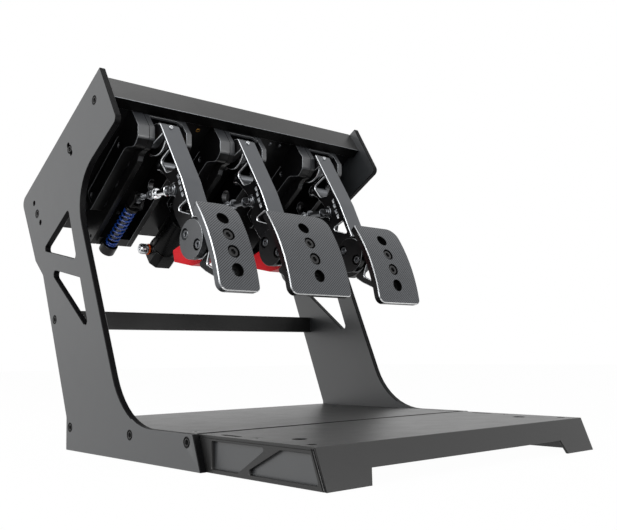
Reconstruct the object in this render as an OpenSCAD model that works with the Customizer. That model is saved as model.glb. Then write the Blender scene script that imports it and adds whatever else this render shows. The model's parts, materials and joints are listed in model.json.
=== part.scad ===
/* [Frame] */
// Width over the two side plates
frame_w = 440; // [430:1:470]
// Thickness of a side plate
side_t = 8; // [6:0.5:10]
// Height of the deck above the floor
deck_h = 36.3; // [34:0.1:40]
// Thickness of the deck and tray sheet
sheet_t = 3; // [2:0.5:4]
// Length of the heel tray in front of the deck
tray_len = 173.4; // [150:0.1:190]
// How far the tray's front flange leans forward at the floor
flange_lean = 14.5; // [8:0.1:20]
// Half width of the cut-out in the front flange, at the floor
notch_half_w = 158; // [120:1:165]
// Thickness of the tray's pocketed cheeks
cheek_t = 8; // [6:0.5:10]
// Diameter of the floor bolt holes in the deck and tray
floor_hole_d = 9; // [7:0.5:11]
// Height of the crossbar's section
bar_h = 23.5; // [20:0.5:26]
// Depth of the crossbar's section
bar_d = 16; // [14:0.5:20]

/* [Mounting plate] */
// Thickness of the plate that carries the pedals
plate_t = 8; // [6:0.5:10]
// Slope of the plate, in degrees below horizontal
plate_tilt = 36.2; // [35:0.1:37.5]
// Length of the plate down its slope
plate_len = 232; // [226:1:238]
// Height of the fascia's face
fascia_h = 36.5; // [30:0.5:42]
// Thickness of the fascia sheet
fascia_t = 3; // [2:0.5:4]

/* [Pedals] */
// Middle of the clutch unit, from the middle of the frame
clutch_x = -131.3; // [-136:0.1:-128]
// Middle of the brake unit
brake_x = -7.9; // [-12:0.1:-4]
// Middle of the throttle unit
throttle_x = 137.2; // [134:0.1:142]
// Width of the clutch face
clutch_face_w = 56; // [50:1:64]
// Width of the brake face
brake_face_w = 98; // [80:1:110]
// Width of the throttle face
throttle_face_w = 78; // [60:1:84]
// Height of a face along its curve
face_h = 116; // [100:1:124]
// Thickness of a face
face_t = 8.5; // [6:0.5:10]
// Radius of a face's driver side
face_r = 226; // [200:1:260]
// Width of the arm's front strap
strap_w = 28; // [24:1:30]
// Thickness of the arm's front strap
strap_t = 3.5; // [3:0.25:5]
// Thickness of the arm's web
web_t = 4; // [3:0.25:5]
// Diameter of the pivot pin
pivot_d = 12; // [10:0.5:13]
// Diameter of the angle clamp's disc
disc_d = 48; // [44:1:52]
// Thickness of the angle clamp's disc
disc_t = 8; // [6:0.5:10]

/* [Spring units] */
// Depth of the sliding shaft below the middle of the plate
shaft_depth = 58.5; // [57:0.5:62]
// Diameter of the sliding shaft
shaft_d = 8; // [6:0.5:9]
// Outer diameter of a spring
spring_d = 17; // [15:0.5:19]
// Diameter of a spring's wire
wire_d = 2.6; // [2:0.1:3]
// Turns of a spring
spring_turns = 10; // [7:1:11]
// Distance between the two eyes of a pedal's link rod
link_len = 86.5; // [86:0.1:87]
// Outer diameter of the brake's hydraulic cylinder
cylinder_d = 40; // [34:1:42]

/* [Hidden] */

$fn = 64;
fit = 0.05;
black = [0.13, 0.13, 0.14];
grey = [0.36, 0.36, 0.37];
satin = [0.24, 0.24, 0.25];
steel = [0.7, 0.7, 0.72];
chrome = [0.85, 0.85, 0.87];

CLUTCH = 0;
BRAKE = 1;
THROTTLE = 2;
unit_x = [clutch_x, brake_x, throttle_x];
face_w = [clutch_face_w, brake_face_w, throttle_face_w];
// Each arm sits a little left of its yoke's middle, and each face left of its arm
arm_dx = [0, -2.5, -7.5];
face_dx = [-2.7, -3.6, -11.2];
// Each face's place along its own curve
face_drop = [0, 0, 5];

// Points of a circular arc from angle a to angle b
function arc(c, r, a, b, n = 8) =
  [for (i = [0 : n]) let (t = a + (b - a) * i / n) c + r * [cos(t), sin(t)]];
function unit2(v) = v / norm(v);
function flat2(p) = [p[0], p[1]];
// One corner b of an outline, between a and c, rounded to radius r
function corner(a, b, c, r, n) =
  r == undef || r <= 0 ? [b] :
  let (
    u = unit2(a - b),
    v = unit2(c - b),
    half = acos(u * v) / 2,
    m = b + unit2(u + v) * r / sin(half),
    p = b + u * r / tan(half) - m,
    q = b + v * r / tan(half) - m,
    p_at = atan2(p[1], p[0]),
    turn = atan2(p[0] * q[1] - p[1] * q[0], p * q)
  )
  arc(m, r, p_at, p_at + turn, n);
// An outline whose corners [x, y, radius] are rounded
function rounded(list, n = 6) = [
  for (i = [0 : len(list) - 1])
    each corner(
      flat2(list[(i + len(list) - 1) % len(list)]),
      flat2(list[i]),
      flat2(list[(i + 1) % len(list)]),
      list[i][2], n)
];
// Where the line through p along u meets the line through q along v
function meet(p, u, q, v) =
  let (k = ((q[0] - p[0]) * v[1] - (q[1] - p[1]) * v[0]) / (u[0] * v[1] - u[1] * v[0])) p + k * u;

// The frame's outlines are drawn in [y, z], with y = 0 at the side plates' rear foot
half_w = frame_w / 2;
inner_x = half_w - side_t;
head_tilt = 30.4;
head_len = 259.4;
apex = [-79.5, 461.5];
head_dir = [cos(head_tilt), -sin(head_tilt)];
nose_dir = [-sin(head_tilt), -cos(head_tilt)];
nose_len = 84.3;
rear_top = apex + head_len * head_dir;
rear_top_r = 12;
nose = apex + nose_len * nose_dir;
leg_front = [-69, 200];
leg_front_dir = unit2([0.431, 1]);
throat = meet(nose, head_dir, leg_front, leg_front_dir);
deck_front = 275.6;
foot_front = 278.4;
foot_toe = 291.8;
foot = meet([0, deck_h], [1, 0], leg_front, leg_front_dir);
heel_z = deck_h + 3.4;
leg_back = [73.3, 221.5];
head_back = [97.2, 242.6];
side_outline = [
  [apex[0], apex[1], 1],
  [rear_top[0], rear_top[1], rear_top_r],
  [head_back[0], head_back[1], 4],
  [leg_back[0], leg_back[1], 10],
  [0, heel_z, 4],
  [0, 0],
  [-foot_toe, 0],
  [-foot_front, deck_h, 1.5],
  [foot[0], foot[1], 90],
  [throat[0], throat[1], 62],
  [nose[0], nose[1], 8]
];
window_high = [[0.8, 299.6, 4], [74, 254.4, 4.5], [-23.3, 233.8, 5]];
window_low = [[-32.6, 211, 4], [56.2, 229.6, 5], [-58.5, 142.9, 5]];

// The whole part is shifted so that its box is centred on the origin
front_y = -(deck_front + tray_len + flange_lean);
rear_corner_in = [
  for (p = rounded([side_outline[0], side_outline[1], side_outline[2]])) p[0]
];
back_y = max(rear_corner_in);
shift_y = -(front_y + back_y) / 2;

// The mounting plate's own frame: s runs down the plate, depth is measured below its middle
plate_at = [-66.7, 424];
plate_front = -16.4;
plate_rear = plate_front + plate_len;
under = plate_t / 2;
// Bolts through a side plate into the mounting plate's end, along s
tilt_bolts = [0, 80.8, 198.7];
spare_holes = [4.9, -5.4];
spare_r = 198.5;
bar_at = [36, 162];
base_bolt_z = 28;
base_bolts = [-10.7, -155.4, -267.9];
bolt_d = 5;
bolt_head_d = 10.4;
bolt_head_h = 2.7;
bolt_grip = 22;
// Floor bolt holes: one at each side of the deck's rear, one at each front corner of the tray
rear_hole = [inner_x - 31, -59];
front_hole = [inner_x - cheek_t - 5.5, -430.5];
// The tray's wide access hole, and its slot over the joiner bar, at each side
access_hole = [inner_x - 36.5, -388];
access_d = 15;
slot_at = [inner_x - 12, -315.5];
slot_len = 30;
slot_w = 6;
nut_h = 5;

// The yoke: two walls and the web that joins them under the plate
wall_t = 8;
wall_left = -17.5;
wall_right = 29;
web_h = 3.5;
yoke_front = -3;
yoke_rear = 200;
wall_depth = 48;
pivot = [17, 28];
block_w = 16;
block_depth = 34;
block_rear = 150;
yoke_bolt_s = [62, 172];
yoke_bolt_x = [-6, 18];

// The arm
hub_r = 14;
rim_r = 23.2;
bush_t = 1.5;
bush_r = 9;
bush_flange_r = 12;
side_gap = 0.5;
strap_top = [-10.7, 33];
strap_bend = [-3.9, 125.5];
strap_foot = [5.9, 178.5];
lug = [27, 112];
lug_r = 9;
lug_t = 5;
eye_r = 7.5;
eye_t = 8;
eye_gap = 0.5;
boss = [34, 61];
boss_r = 6.5;
sleeve_r = 6.2;
sleeve_len = 22;
pin_d = 5;
clamp_at = [27.3, 195.2];
clamp_pitch_r = 14.7;
clamp_turn = [-66.6, 113.4];
clamp_bolt_d = 6;
clamp_hole_d = 14.5;
clamp_block_t = 16;

// The face is an arc about face_c in [s, depth]
face_mid = [-13.9, 242.1];
face_down = unit2([0.197, 0.980]);
face_out = [-face_down[1], face_down[0]];
face_sag = 7.5;
face_c = face_mid - (face_r - face_sag) * face_out;
face_hole_d = 16;
face_hole_pitch = 22.5;
face_screw_d = 6;
face_screw_head = 12.5;
flange_t = 5;
flange_w = 24;

// The spring unit
shaft_x = -4.5;
fork_s = lug[0] + sqrt(pow(link_len, 2) - pow(lug[1] - shaft_depth, 2));
link_dir = unit2([fork_s, shaft_depth] - lug);
collar_s = fork_s + 17;
collar_t = 4;
rear_block_s = 184;
rear_block_t = 14;
shaft_end = rear_block_s + rear_block_t + 2;
fork_gap = 0.9;
coil_sides = 6;
coil_steps = 8;
spring_start = collar_s + collar_t + 0.3;
spring_end = rear_block_s - 0.3;
coil_r = (spring_d - wire_d) / 2;
coil_pitch = (spring_end - spring_start - wire_d) / spring_turns;
echo(least_gap_between_turns = coil_pitch - wire_d);
cylinder_x = -45;
cylinder_front = 122;
cylinder_len = 56;
cylinder_depth = 62;
end_block_len = 24;
end_block_w = 38;
adjuster_at = [192, 55];

module placed() {
  translate([0, shift_y, 0]) children();
}
// An outline in [y, z] made a plate from x0 to x1
module plate_x(x0, x1) {
  translate([x0, 0, 0])
    rotate([90, 0, 90])
      linear_extrude(x1 - x0) children();
}
// A round bar along x at [y, z]
module bar_x(at, x0, x1, d) {
  translate([x0, at[0], at[1]])
    rotate([0, 90, 0])
      cylinder(h = x1 - x0, d = d);
}
// The plate's own frame: X is s, Y is up from the plate, Z is along the frame's x
module on_plate(x = 0) {
  placed()
    translate([x, plate_at[0], plate_at[1]])
      rotate([-plate_tilt, 0, 0])
        rotate([90, 0, 90])
          children();
}
// An outline in [s, depth] made a plate from x0 to x1
module slab(x0, x1) {
  translate([0, 0, x0])
    linear_extrude(x1 - x0)
      mirror([0, 1])
        children();
}
// A round bar along x at [s, depth]
module pin(at, x0, x1, d) {
  translate([at[0], -at[1], x0]) cylinder(h = x1 - x0, d = d);
}
// A round bar along s at [depth, x]
module rod(depth, x, s0, s1, d) {
  translate([s0, -depth, x])
    rotate([0, 90, 0])
      cylinder(h = s1 - s0, d = d);
}
// A bolt along -z with a countersunk head flush at z = 0
module sunk_bolt(len) {
  rotate_extrude()
    polygon([
      [0, -0.1], [bolt_head_d / 2 - fit, -0.1], [bolt_d / 2, -bolt_head_h],
      [bolt_d / 2, -len], [0, -len]
    ]);
}
module sunk_hole(len) {
  rotate_extrude()
    polygon([
      [0, 0.1], [bolt_head_d / 2 + fit, 0.1], [bolt_head_d / 2 + fit, 0],
      [bolt_d / 2 + 2 * fit, -bolt_head_h], [bolt_d / 2 + 2 * fit, -len], [0, -len]
    ]);
}
// Turns a bolt drawn along z so that its head faces outwards on the left (-1) or right (1)
module facing(side, at) {
  translate([side * half_w, at[0], at[1]])
    rotate([0, side * 90, 0])
      children();
}
function on_slope(s, depth = 0) = plate_at
  + s * [cos(plate_tilt), -sin(plate_tilt)]
  - depth * [sin(plate_tilt), cos(plate_tilt)];
side_bolts = concat(
  [for (s = tilt_bolts) on_slope(s)],
  [bar_at],
  [for (y = base_bolts) [y, base_bolt_z]]
);

module side_plate(side) {
  x0 = side < 0 ? -half_w : inner_x;
  color(grey)
    placed()
      difference() {
        plate_x(x0, x0 + side_t)
          difference() {
            polygon(rounded(side_outline, 10));
            polygon(rounded(window_high));
            polygon(rounded(window_low));
          }
        for (at = side_bolts)
          facing(side, at) sunk_hole(side_t + 1);
        // The tilt slot runs a little to each side of the middle bolt
        for (turn = [-5 : 2.5 : 5])
          bar_x(on_tilt(tilt_bolts[1], turn), x0 - 1, x0 + side_t + 1, bolt_d + 1);
        for (turn = spare_holes)
          bar_x(on_tilt(spare_r, turn), x0 - 1, x0 + side_t + 1, bolt_d + 1.2);
      }
}
// A point r from the front bolt, turned from the plate's slope
function on_tilt(r, turn) = plate_at
  + r * [cos(plate_tilt + turn), -sin(plate_tilt + turn)];

module mount_plate() {
  color(satin)
    on_plate()
      difference() {
        translate([plate_front, -under, -inner_x])
          cube([plate_len, plate_t, 2 * inner_x]);
        for (side = [-1, 1], s = tilt_bolts)
          pin([s, 0], side * inner_x - bolt_grip, side * inner_x + bolt_grip, bolt_d);
        for (x = unit_x)
          yoke_bolt_places(x) translate([0, 0, -plate_t - 1])
            cylinder(h = plate_t + 2, d = bolt_d + 6 * fit);
      }
}
// Puts what is drawn along z, with z = 0 on the plate's top, at each bolt of a yoke
module yoke_bolt_places(x) {
  for (s = yoke_bolt_s, dx = yoke_bolt_x)
    translate([s, under, x + dx])
      rotate([-90, 0, 0])
        children();
}
module yoke_bolts() {
  color(steel)
    on_plate()
      for (x = unit_x)
        yoke_bolt_places(x)
          difference() {
            union() {
              translate([0, 0, -plate_t - web_h])
                cylinder(h = plate_t + web_h, d = bolt_d);
              cylinder(h = 4.5, d = 9);
            }
            translate([0, 0, 2]) cylinder(h = 3, d = 4.6, $fn = 6);
          }
}
module fascia() {
  top = -fascia_h + 11.5;
  color(satin)
    on_plate()
      slab(-inner_x, inner_x)
        polygon([
          [plate_front - fascia_t, top], [6, top], [6, top + fascia_t],
          [plate_front, top + fascia_t], [plate_front, 8.5], [-4, 8.5],
          [-4, 11.5], [plate_front - fascia_t, 11.5]
        ]);
}
module crossbar() {
  wall = 2;
  color(satin)
    placed()
      difference() {
        plate_x(-inner_x, inner_x)
          translate(bar_at) {
            difference() {
              square([bar_d, bar_h], center = true);
              square([bar_d - 2 * wall, bar_h - 2 * wall], center = true);
            }
            square([bar_d - wall, wall], center = true);
            circle(d = bolt_d + 4);
          }
        for (side = [-1, 1])
          bar_x(bar_at, side * inner_x - bolt_grip, side * inner_x + bolt_grip, bolt_d);
      }
}
module floor_deck() {
  flange_h = 24;
  color(satin)
    placed()
      difference() {
        union() {
          translate([-inner_x, -deck_front + 0.3, deck_h - sheet_t])
            cube([2 * inner_x, deck_front - 0.3, sheet_t]);
          translate([-inner_x, -sheet_t, deck_h - flange_h])
            cube([2 * inner_x, sheet_t, flange_h]);
          for (side = [-1, 1]) {
            translate([side * (inner_x - sheet_t / 2) - sheet_t / 2, -deck_front + 0.3,
                deck_h - flange_h])
              cube([sheet_t, deck_front - 0.3, flange_h]);
            for (y = base_bolts)
              bar_x([y, base_bolt_z], side * (inner_x - sheet_t - nut_h / 2) - nut_h / 2 - 0.1,
                side * (inner_x - sheet_t - nut_h / 2) + nut_h / 2 + 0.1, 9);
          }
        }
        for (side = [-1, 1], y = base_bolts)
          bar_x([y, base_bolt_z], side * inner_x - 12, side * inner_x + 12, bolt_d);
        for (side = [-1, 1]) {
          deck_hole(side, seam_screws[0]);
          translate([side * rear_hole[0], rear_hole[1], 0])
            cylinder(h = deck_h + 1, d = floor_hole_d);
        }
      }
}
deck_bolt_x = inner_x - 15;
joiner_w = 13;
joiner_t = 5;
// Screws into the joiner bars: one through the deck and one through the tray
seam_screws = [-250, -352];
joiner_over = 15;
module deck_hole(side, y) {
  translate([side * deck_bolt_x, y, deck_h]) sunk_hole(2 * sheet_t);
}
module joiner_bars() {
  color(steel)
    placed()
      difference() {
        for (side = [-1, 1])
          translate([side * deck_bolt_x - joiner_w / 2, seam_screws[1] - joiner_over,
              deck_h - sheet_t - joiner_t])
            cube([joiner_w, seam_screws[0] - seam_screws[1] + 2 * joiner_over, joiner_t]);
        for (side = [-1, 1], y = seam_screws)
          translate([side * deck_bolt_x, y, 0]) cylinder(h = deck_h, d = bolt_d);
      }
}
tray_front = -(deck_front + tray_len);
module heel_tray() {
  front = tray_front;
  slope = flange_lean / deck_h;
  color(satin)
    placed()
      difference() {
        plate_x(-inner_x, inner_x)
          polygon([
            [-deck_front - 0.3, deck_h - sheet_t], [-deck_front - 0.3, deck_h],
            [front, deck_h], [front - flange_lean, 0],
            [front - flange_lean + sheet_t, 0],
            [front - slope * sheet_t + sheet_t, deck_h - sheet_t]
          ]);
        // The cut-out that leaves a foot at each end of the front flange
        translate([0, front + 1, 0])
          rotate([90, 0, 0])
            linear_extrude(flange_lean + 10)
              polygon([
                [-notch_half_w, -1], [notch_half_w, -1], [notch_half_w - 6, 14.4],
                [-notch_half_w + 6, 14.4]
              ]);
        for (side = [-1, 1]) {
          deck_hole(side, seam_screws[1]);
          translate([0, 0, deck_h - sheet_t - 1]) {
            translate([side * front_hole[0], front_hole[1], 0])
              cylinder(h = sheet_t + 2, d = floor_hole_d);
            translate([side * access_hole[0], access_hole[1], 0])
              cylinder(h = sheet_t + 2, d = access_d);
            translate([side * slot_at[0], slot_at[1], 0])
              linear_extrude(sheet_t + 2)
                hull()
                  for (end = [-1, 1])
                    translate([0, end * (slot_len - slot_w) / 2]) circle(d = slot_w);
          }
        }
      }
}
module tray_cheek(side) {
  front = tray_front;
  slope = flange_lean / deck_h;
  top = deck_h - sheet_t;
  x0 = side < 0 ? -inner_x : inner_x - cheek_t;
  pocket_x = side < 0 ? x0 - 1 : x0 + cheek_t / 2;
  // Each pocket keeps a rim, and a slanting rib stands between them
  rim = 4;
  high = top - 2.3;
  color(satin)
    placed()
      difference() {
        plate_x(x0, x0 + cheek_t)
          polygon([
            [-deck_front - 0.3, 0], [-deck_front - 0.3, top],
            [front - slope * sheet_t + sheet_t, top],
            [front - flange_lean + sheet_t, 0]
          ]);
        plate_x(pocket_x, pocket_x + cheek_t / 2 + 1) {
          translate([-deck_front, 0]) polygon(rounded([
            [-23.4, rim, 2], [-23.4, high, 2], [-102.7, high, 3], [-104.8, 27.7, 2],
            [-65.7, rim, 3]
          ], 3));
          translate([front, 0]) polygon(rounded([
            [45.9, 30, 3], [5.6, 30, 2], [-4.4, rim, 2], [90.2, rim, 2], [90.1, 8.7, 2]
          ], 3));
        }
      }
}
module frame_bolts() {
  color(black)
    placed() {
      for (side = [-1, 1]) {
        for (at = side_bolts)
          facing(side, at)
            difference() {
              sunk_bolt(side_t + (at[1] == base_bolt_z ? sheet_t + nut_h : bolt_grip - 2));
              translate([0, 0, -2.2]) cylinder(h = 3, d = 3.5, $fn = 6);
            }
        for (y = seam_screws)
          translate([side * deck_bolt_x, y, deck_h])
            difference() {
              sunk_bolt(sheet_t + joiner_t);
              translate([0, 0, -2.2]) cylinder(h = 3, d = 3.5, $fn = 6);
            }
      }
    }
}

// A wall's side view: straight front, round nose about the pivot, neck and lower edge
// The nose is cut in facets round the pivot, then falls back to the wall's lower edge
function wall_outline(lower, rear) =
  rounded(concat(
    [[yoke_front, under, 0], [yoke_front, 34, 3], [6, 46.5, 8]],
    lower > 40
      ? [[21, 49.5, 10], [34.5, 40.5, 14], [43, lower, 6]]
      : [[20, 50, 9], [36, lower, 14]],
    [[rear, lower, 4], [rear, under, 0]]
  ), 6);
module yoke(p) {
  color(satin)
    on_plate(unit_x[p])
      difference() {
        union() {
          slab(wall_left - wall_t, wall_left)
            polygon(wall_outline(wall_depth, yoke_rear));
          slab(wall_right, wall_right + wall_t)
            polygon(wall_outline(wall_depth, yoke_rear));
          translate([yoke_front, -under - web_h, wall_left - 0.1])
            cube([yoke_rear - yoke_front, web_h, wall_right - wall_left + 0.2]);
        }
        pin(pivot, wall_left - wall_t - 1, wall_right + wall_t + 1, pivot_d);
        yoke_bolt_places(0) translate([0, 0, -plate_t - web_h - 1])
          cylinder(h = web_h + 2, d = bolt_d);
        // Lightening holes along the walls
        for (s = [62, 98, 134])
          pin([s, 27], wall_left - wall_t - 1, wall_right + wall_t + 1, 18);
        for (depth = [24, 40], x = [wall_left, wall_right])
          pin([rear_block_s + rear_block_t / 2, depth], x - wall_t - 1, x + wall_t + 1, 4.2);
      }
}
module side_block(p) {
  x0 = wall_left - wall_t - block_w;
  color(black)
    on_plate(unit_x[p])
      difference() {
        slab(x0, x0 + block_w)
          polygon(wall_outline(block_depth, block_rear));
        slab(x0 - 1, x0 + 0.8)
          polygon(rounded([[36, 9, 3], [142, 9, 3], [142, 29, 3], [52, 29, 6]], 4));
        for (s = [46, 136])
          pin([s, 19], x0 - 1, x0 + 5, 7);
      }
}
module pivot_pins() {
  color(steel)
    on_plate()
      for (x = unit_x)
        difference() {
          union() {
            pin(pivot, x + wall_left - wall_t, x + wall_right + wall_t + 2, pivot_d);
            pin(pivot, x + wall_right + wall_t, x + wall_right + wall_t + 3, pivot_d + 6);
          }
          pin(pivot, x + wall_right + wall_t - 2, x + wall_right + wall_t + 4, 6);
        }
}
module bushes(p) {
  color("darkgoldenrod")
    on_plate(unit_x[p])
      for (end = [0, 1]) {
        flange = end == 0 ? wall_left + side_gap : wall_right - side_gap - bush_t;
        barrel = end == 0 ? flange : flange + bush_t - 12;
        difference() {
          union() {
            pin(pivot, flange, flange + bush_t, 2 * bush_flange_r);
            pin(pivot, barrel, barrel + 12, 2 * bush_r);
          }
          pin(pivot, flange - 20, flange + 20, pivot_d + 2 * fit);
        }
      }
}

// The web's side view, from the strap round its rear edge to the clamp
web_outline = rounded([
  [-5.5, 60], [29, 54.5, 5], [39.5, 60, 6], [32.5, 76, 16], [28.8, 97, 4], [28.8, 103, 2],
  [36, 121.5, 2], [41.5, 125, 5], [44.8, 142, 12], [44, 165, 6], [50, 195], [27, 200],
  [9.3, 181], [-0.5, 125.5]
], 5);
web_window = rounded([
  [1, 63.5, 3], [27, 59.5, 4], [27.5, 66, 5], [26.5, 82, 5], [15, 90, 4], [3, 92, 3]
], 4);
window_s = [10.1, 12.6, 14.8, 16.4];
window_depth = [105.6, 113.2, 121.8, 130];
web_triangle = rounded([[13.5, 141.5, 2], [38, 135.5, 3], [17.5, 163, 2]], 3);

// The strap's side view: its front line and the back line one thickness behind it
strap_upper = unit2(strap_bend - strap_top);
strap_lower = unit2(strap_foot - strap_bend);
strap_back = unit2(strap_upper + strap_lower);
strap_outline = rounded([
  [strap_top[0], strap_top[1], 2], [strap_bend[0], strap_bend[1], 60], strap_foot,
  strap_foot + strap_t * [strap_lower[1], -strap_lower[0]],
  concat(strap_bend + strap_t * [strap_back[1], -strap_back[0]], 56.5),
  strap_top + strap_t * [strap_upper[1], -strap_upper[0]]
], 6);

module arm(p) {
  dx = arm_dx[p];
  hub_l = wall_left + side_gap + bush_t;
  hub_r_end = wall_right - side_gap - bush_t;
  color(grey)
    on_plate(unit_x[p])
      difference() {
        union() {
          pin(pivot, hub_l, hub_r_end, 2 * hub_r);
          // The polished rim under the hub
          intersection() {
            pin(pivot, dx - web_t, dx, 2 * rim_r);
            translate([pivot[0] - rim_r, -pivot[1] - rim_r, dx - web_t])
              cube([2 * rim_r, rim_r, web_t]);
          }
          slab(dx - strap_w / 2, dx + strap_w / 2) polygon(strap_outline);
          slab(max(hub_l, dx - strap_w / 2), dx + strap_w / 2)
            polygon([
              [strap_top[0] + 2, strap_top[1] - 2.5], [4, 22], [pivot[0], 14.2],
              [pivot[0], 41.8], [strap_top[0] + 6, 48], [strap_top[0] + 1.5, 48]
            ]);
          slab(dx - web_t, dx)
            difference() {
              polygon(web_outline);
              polygon(web_window);
              polygon(web_triangle);
              for (i = [0 : 3])
                translate([window_s[i], window_depth[i]])
                  polygon([[-2.6, -2.6], [1.9, -3.4], [2.6, 2.6], [-1.9, 3.4]]);
            }
          pin(clamp_at, dx - web_t, dx, disc_d - 6);
          pin(lug, dx - 0.1, dx + lug_t, 2 * lug_r);
          slab(dx - 0.1, dx + lug_t)
            polygon([[14, 104], [lug[0], lug[1] - lug_r], [lug[0], lug[1] + lug_r], [14, 120]]);
          pin(boss, dx - web_t, dx, 2 * boss_r);
        }
        pin(pivot, hub_l - 1, hub_r_end + 1, 2 * bush_r);
        // The web opens round the rod end, which its lug holds from behind
        pin(lug, dx - web_t - 1, dx - 0.1, 2 * eye_r + 2);
        slab(dx - web_t - 1, dx - 0.1)
          polygon([[lug[0], lug[1] - eye_r - 1], [48, lug[1] - eye_r - 1],
            [48, lug[1] + eye_r + 1], [lug[0], lug[1] + eye_r + 1]]);
        pin(lug, dx - 1, dx + lug_t + 1, pin_d);
        pin(boss, dx - web_t - 1, dx + 1, pin_d);
        clamp_bolt_places() translate([0, 0, dx - web_t - 1])
          cylinder(h = web_t + 2, d = clamp_bolt_d + 2 * fit);
        strap_screw_place(dx) cylinder(h = 30, d = 4.2, center = true);
      }
}
module clamp_bolt_places() {
  for (turn = clamp_turn)
    translate([
      clamp_at[0] + clamp_pitch_r * cos(turn), -clamp_at[1] - clamp_pitch_r * sin(turn), 0
    ])
      children();
}
// The screw near the top of the strap, along the strap's normal
module strap_screw_place(dx) {
  at = strap_top + 5.4 * strap_upper;
  translate([at[0], -at[1], dx])
    rotate([0, 0, atan(strap_upper[0] / strap_upper[1])])
      rotate([0, -90, 0])
        children();
}
module arm_pins(p) {
  dx = arm_dx[p];
  color(steel)
    on_plate(unit_x[p]) {
      // The rod end's shoulder screw
      union() {
        pin(lug, dx - eye_gap - eye_t - 0.1, dx + lug_t, pin_d);
        pin(lug, dx - eye_gap - eye_t - 3.6, dx - eye_gap - eye_t - 0.1, 8);
      }
      // The cross sleeve, with its spigot in the web's boss
      union() {
        pin(boss, dx - web_t, dx + 1, pin_d);
        pin(boss, dx, dx + sleeve_len, 2 * sleeve_r);
        pin(boss, dx + sleeve_len, dx + sleeve_len + 4, 6);
      }
    }
}
module disc(p) {
  dx = arm_dx[p];
  color(satin)
    on_plate(unit_x[p])
      difference() {
        pin(clamp_at, dx - web_t - disc_t, dx - web_t, disc_d);
        clamp_bolt_places()
          translate([0, 0, dx - web_t - disc_t - 1]) {
            cylinder(h = disc_t + 2, d = clamp_bolt_d + 2 * fit);
            cylinder(h = 6.5, d = clamp_hole_d);
          }
      }
}
module clamp_block(p) {
  dx = arm_dx[p];
  color(p == THROTTLE ? black : [0.78, 0.06, 0.1])
    on_plate(unit_x[p])
      difference() {
        slab(dx + web_t, dx + web_t + clamp_block_t)
          polygon([
            [12, 180], [27, 173], [62, 169], [82, 162], [88, 176], [62, 205], [48, 213],
            [30, 215], [14, 209], [7, 195]
          ]);
        clamp_bolt_places() translate([0, 0, dx + web_t - 1])
          cylinder(h = clamp_block_t + 2, d = clamp_bolt_d + 2 * fit);
        translate([88, -176, dx + web_t + clamp_block_t])
          rotate([0, 45, 40]) cube([14, 60, 14], center = true);
      }
}

bracket_outline = rounded([
  [face_back(-30)[0], face_back(-30)[1]], [12, 200], [27, 219], [47.5, 216, 4],
  [39.7, 233.6, 6], [24, 260, 4], face_back(24)
], 4);
// A point on the back of the face's flange seat, v down the face from its middle
function face_back(v) =
  let (r = face_r - face_t, a = asin(v / r)) face_c + r * (face_out * cos(a) + face_down * sin(a));
bracket_window = rounded([[16, 217, 3], [33, 228, 3], [21, 250, 3], [5.5, 247, 3]], 3);

module bracket(p) {
  dx = arm_dx[p];
  color(grey)
    on_plate(unit_x[p])
      difference() {
        union() {
          slab(dx, dx + web_t)
            difference() {
              union() {
                polygon(bracket_outline);
                translate(clamp_at) circle(d = disc_d - 2);
              }
              polygon(bracket_window);
            }
          // The curved flange that the face is screwed to
          intersection() {
            difference() {
              pin(face_c, face_dx[p] - flange_w / 2, face_dx[p] + flange_w / 2,
                2 * (face_r - face_t - fit));
              pin(face_c, face_dx[p] - flange_w, face_dx[p] + flange_w,
                2 * (face_r - face_t - flange_t));
            }
            face_prism(p, flange_w, 96, 0);
          }
          slab(min(dx, face_dx[p]), dx + web_t)
            polygon([
              face_back(-14) + flange_t / 2 * [1, 0], face_back(-14) + [8, 0],
              face_back(14) + [8, 0], face_back(14) + flange_t / 2 * [1, 0]
            ]);
        }
        clamp_bolt_places() translate([0, 0, dx - 1])
          cylinder(h = web_t + 2, d = clamp_bolt_d + 2 * fit);
        for (i = [-1, 1])
          face_hole_place(p, i * face_hole_pitch / 2)
            translate([0, 0, -30]) cylinder(h = 60, d = face_screw_d);
      }
}
// A rounded block through the face's outline, w wide and h long
module face_prism(p, w, h, r_scale) {
  drop = face_drop[p];
  slope = atan2(face_out[1], face_out[0]);
  translate([face_mid[0], -face_mid[1], face_dx[p]])
    rotate([0, 0, 180 - slope])
      translate([0, -drop, 0])
        rotate([0, 90, 0])
          linear_extrude(60, center = true)
            polygon(rounded([
              [-w / 2, h / 2, 16 * r_scale], [-w / 2, -h / 2, 6 * r_scale],
              [w / 2, -h / 2, 10 * r_scale], [w / 2, h / 2, 3 * r_scale]
            ], 6));
}
// Puts what is drawn along z, with z = 0 on the face's front, at v down the face
module face_hole_place(p, v) {
  a = asin((v + face_drop[p]) / face_r);
  at = face_c + face_r * (face_out * cos(a) + face_down * sin(a));
  out = face_out * cos(a) + face_down * sin(a);
  translate([at[0], -at[1], face_dx[p]])
    rotate([0, 0, atan2(-out[1], out[0])])
      rotate([0, 90, 0])
        children();
}
module face(p) {
  color(satin)
    on_plate(unit_x[p])
      difference() {
        intersection() {
          difference() {
            pin(face_c, face_dx[p] - face_w[p], face_dx[p] + face_w[p], 2 * face_r);
            pin(face_c, face_dx[p] - face_w[p] - 1, face_dx[p] + face_w[p] + 1,
              2 * (face_r - face_t));
          }
          face_prism(p, face_w[p], face_h, 1);
        }
        for (i = [-1.5 : 1 : 1.5])
          face_hole_place(p, i * face_hole_pitch) {
            translate([0, 0, -5.5]) cylinder(h = 8, d = face_hole_d);
            translate([0, 0, -20]) cylinder(h = 22, d = face_screw_d + 2 * fit);
          }
      }
}
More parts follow.
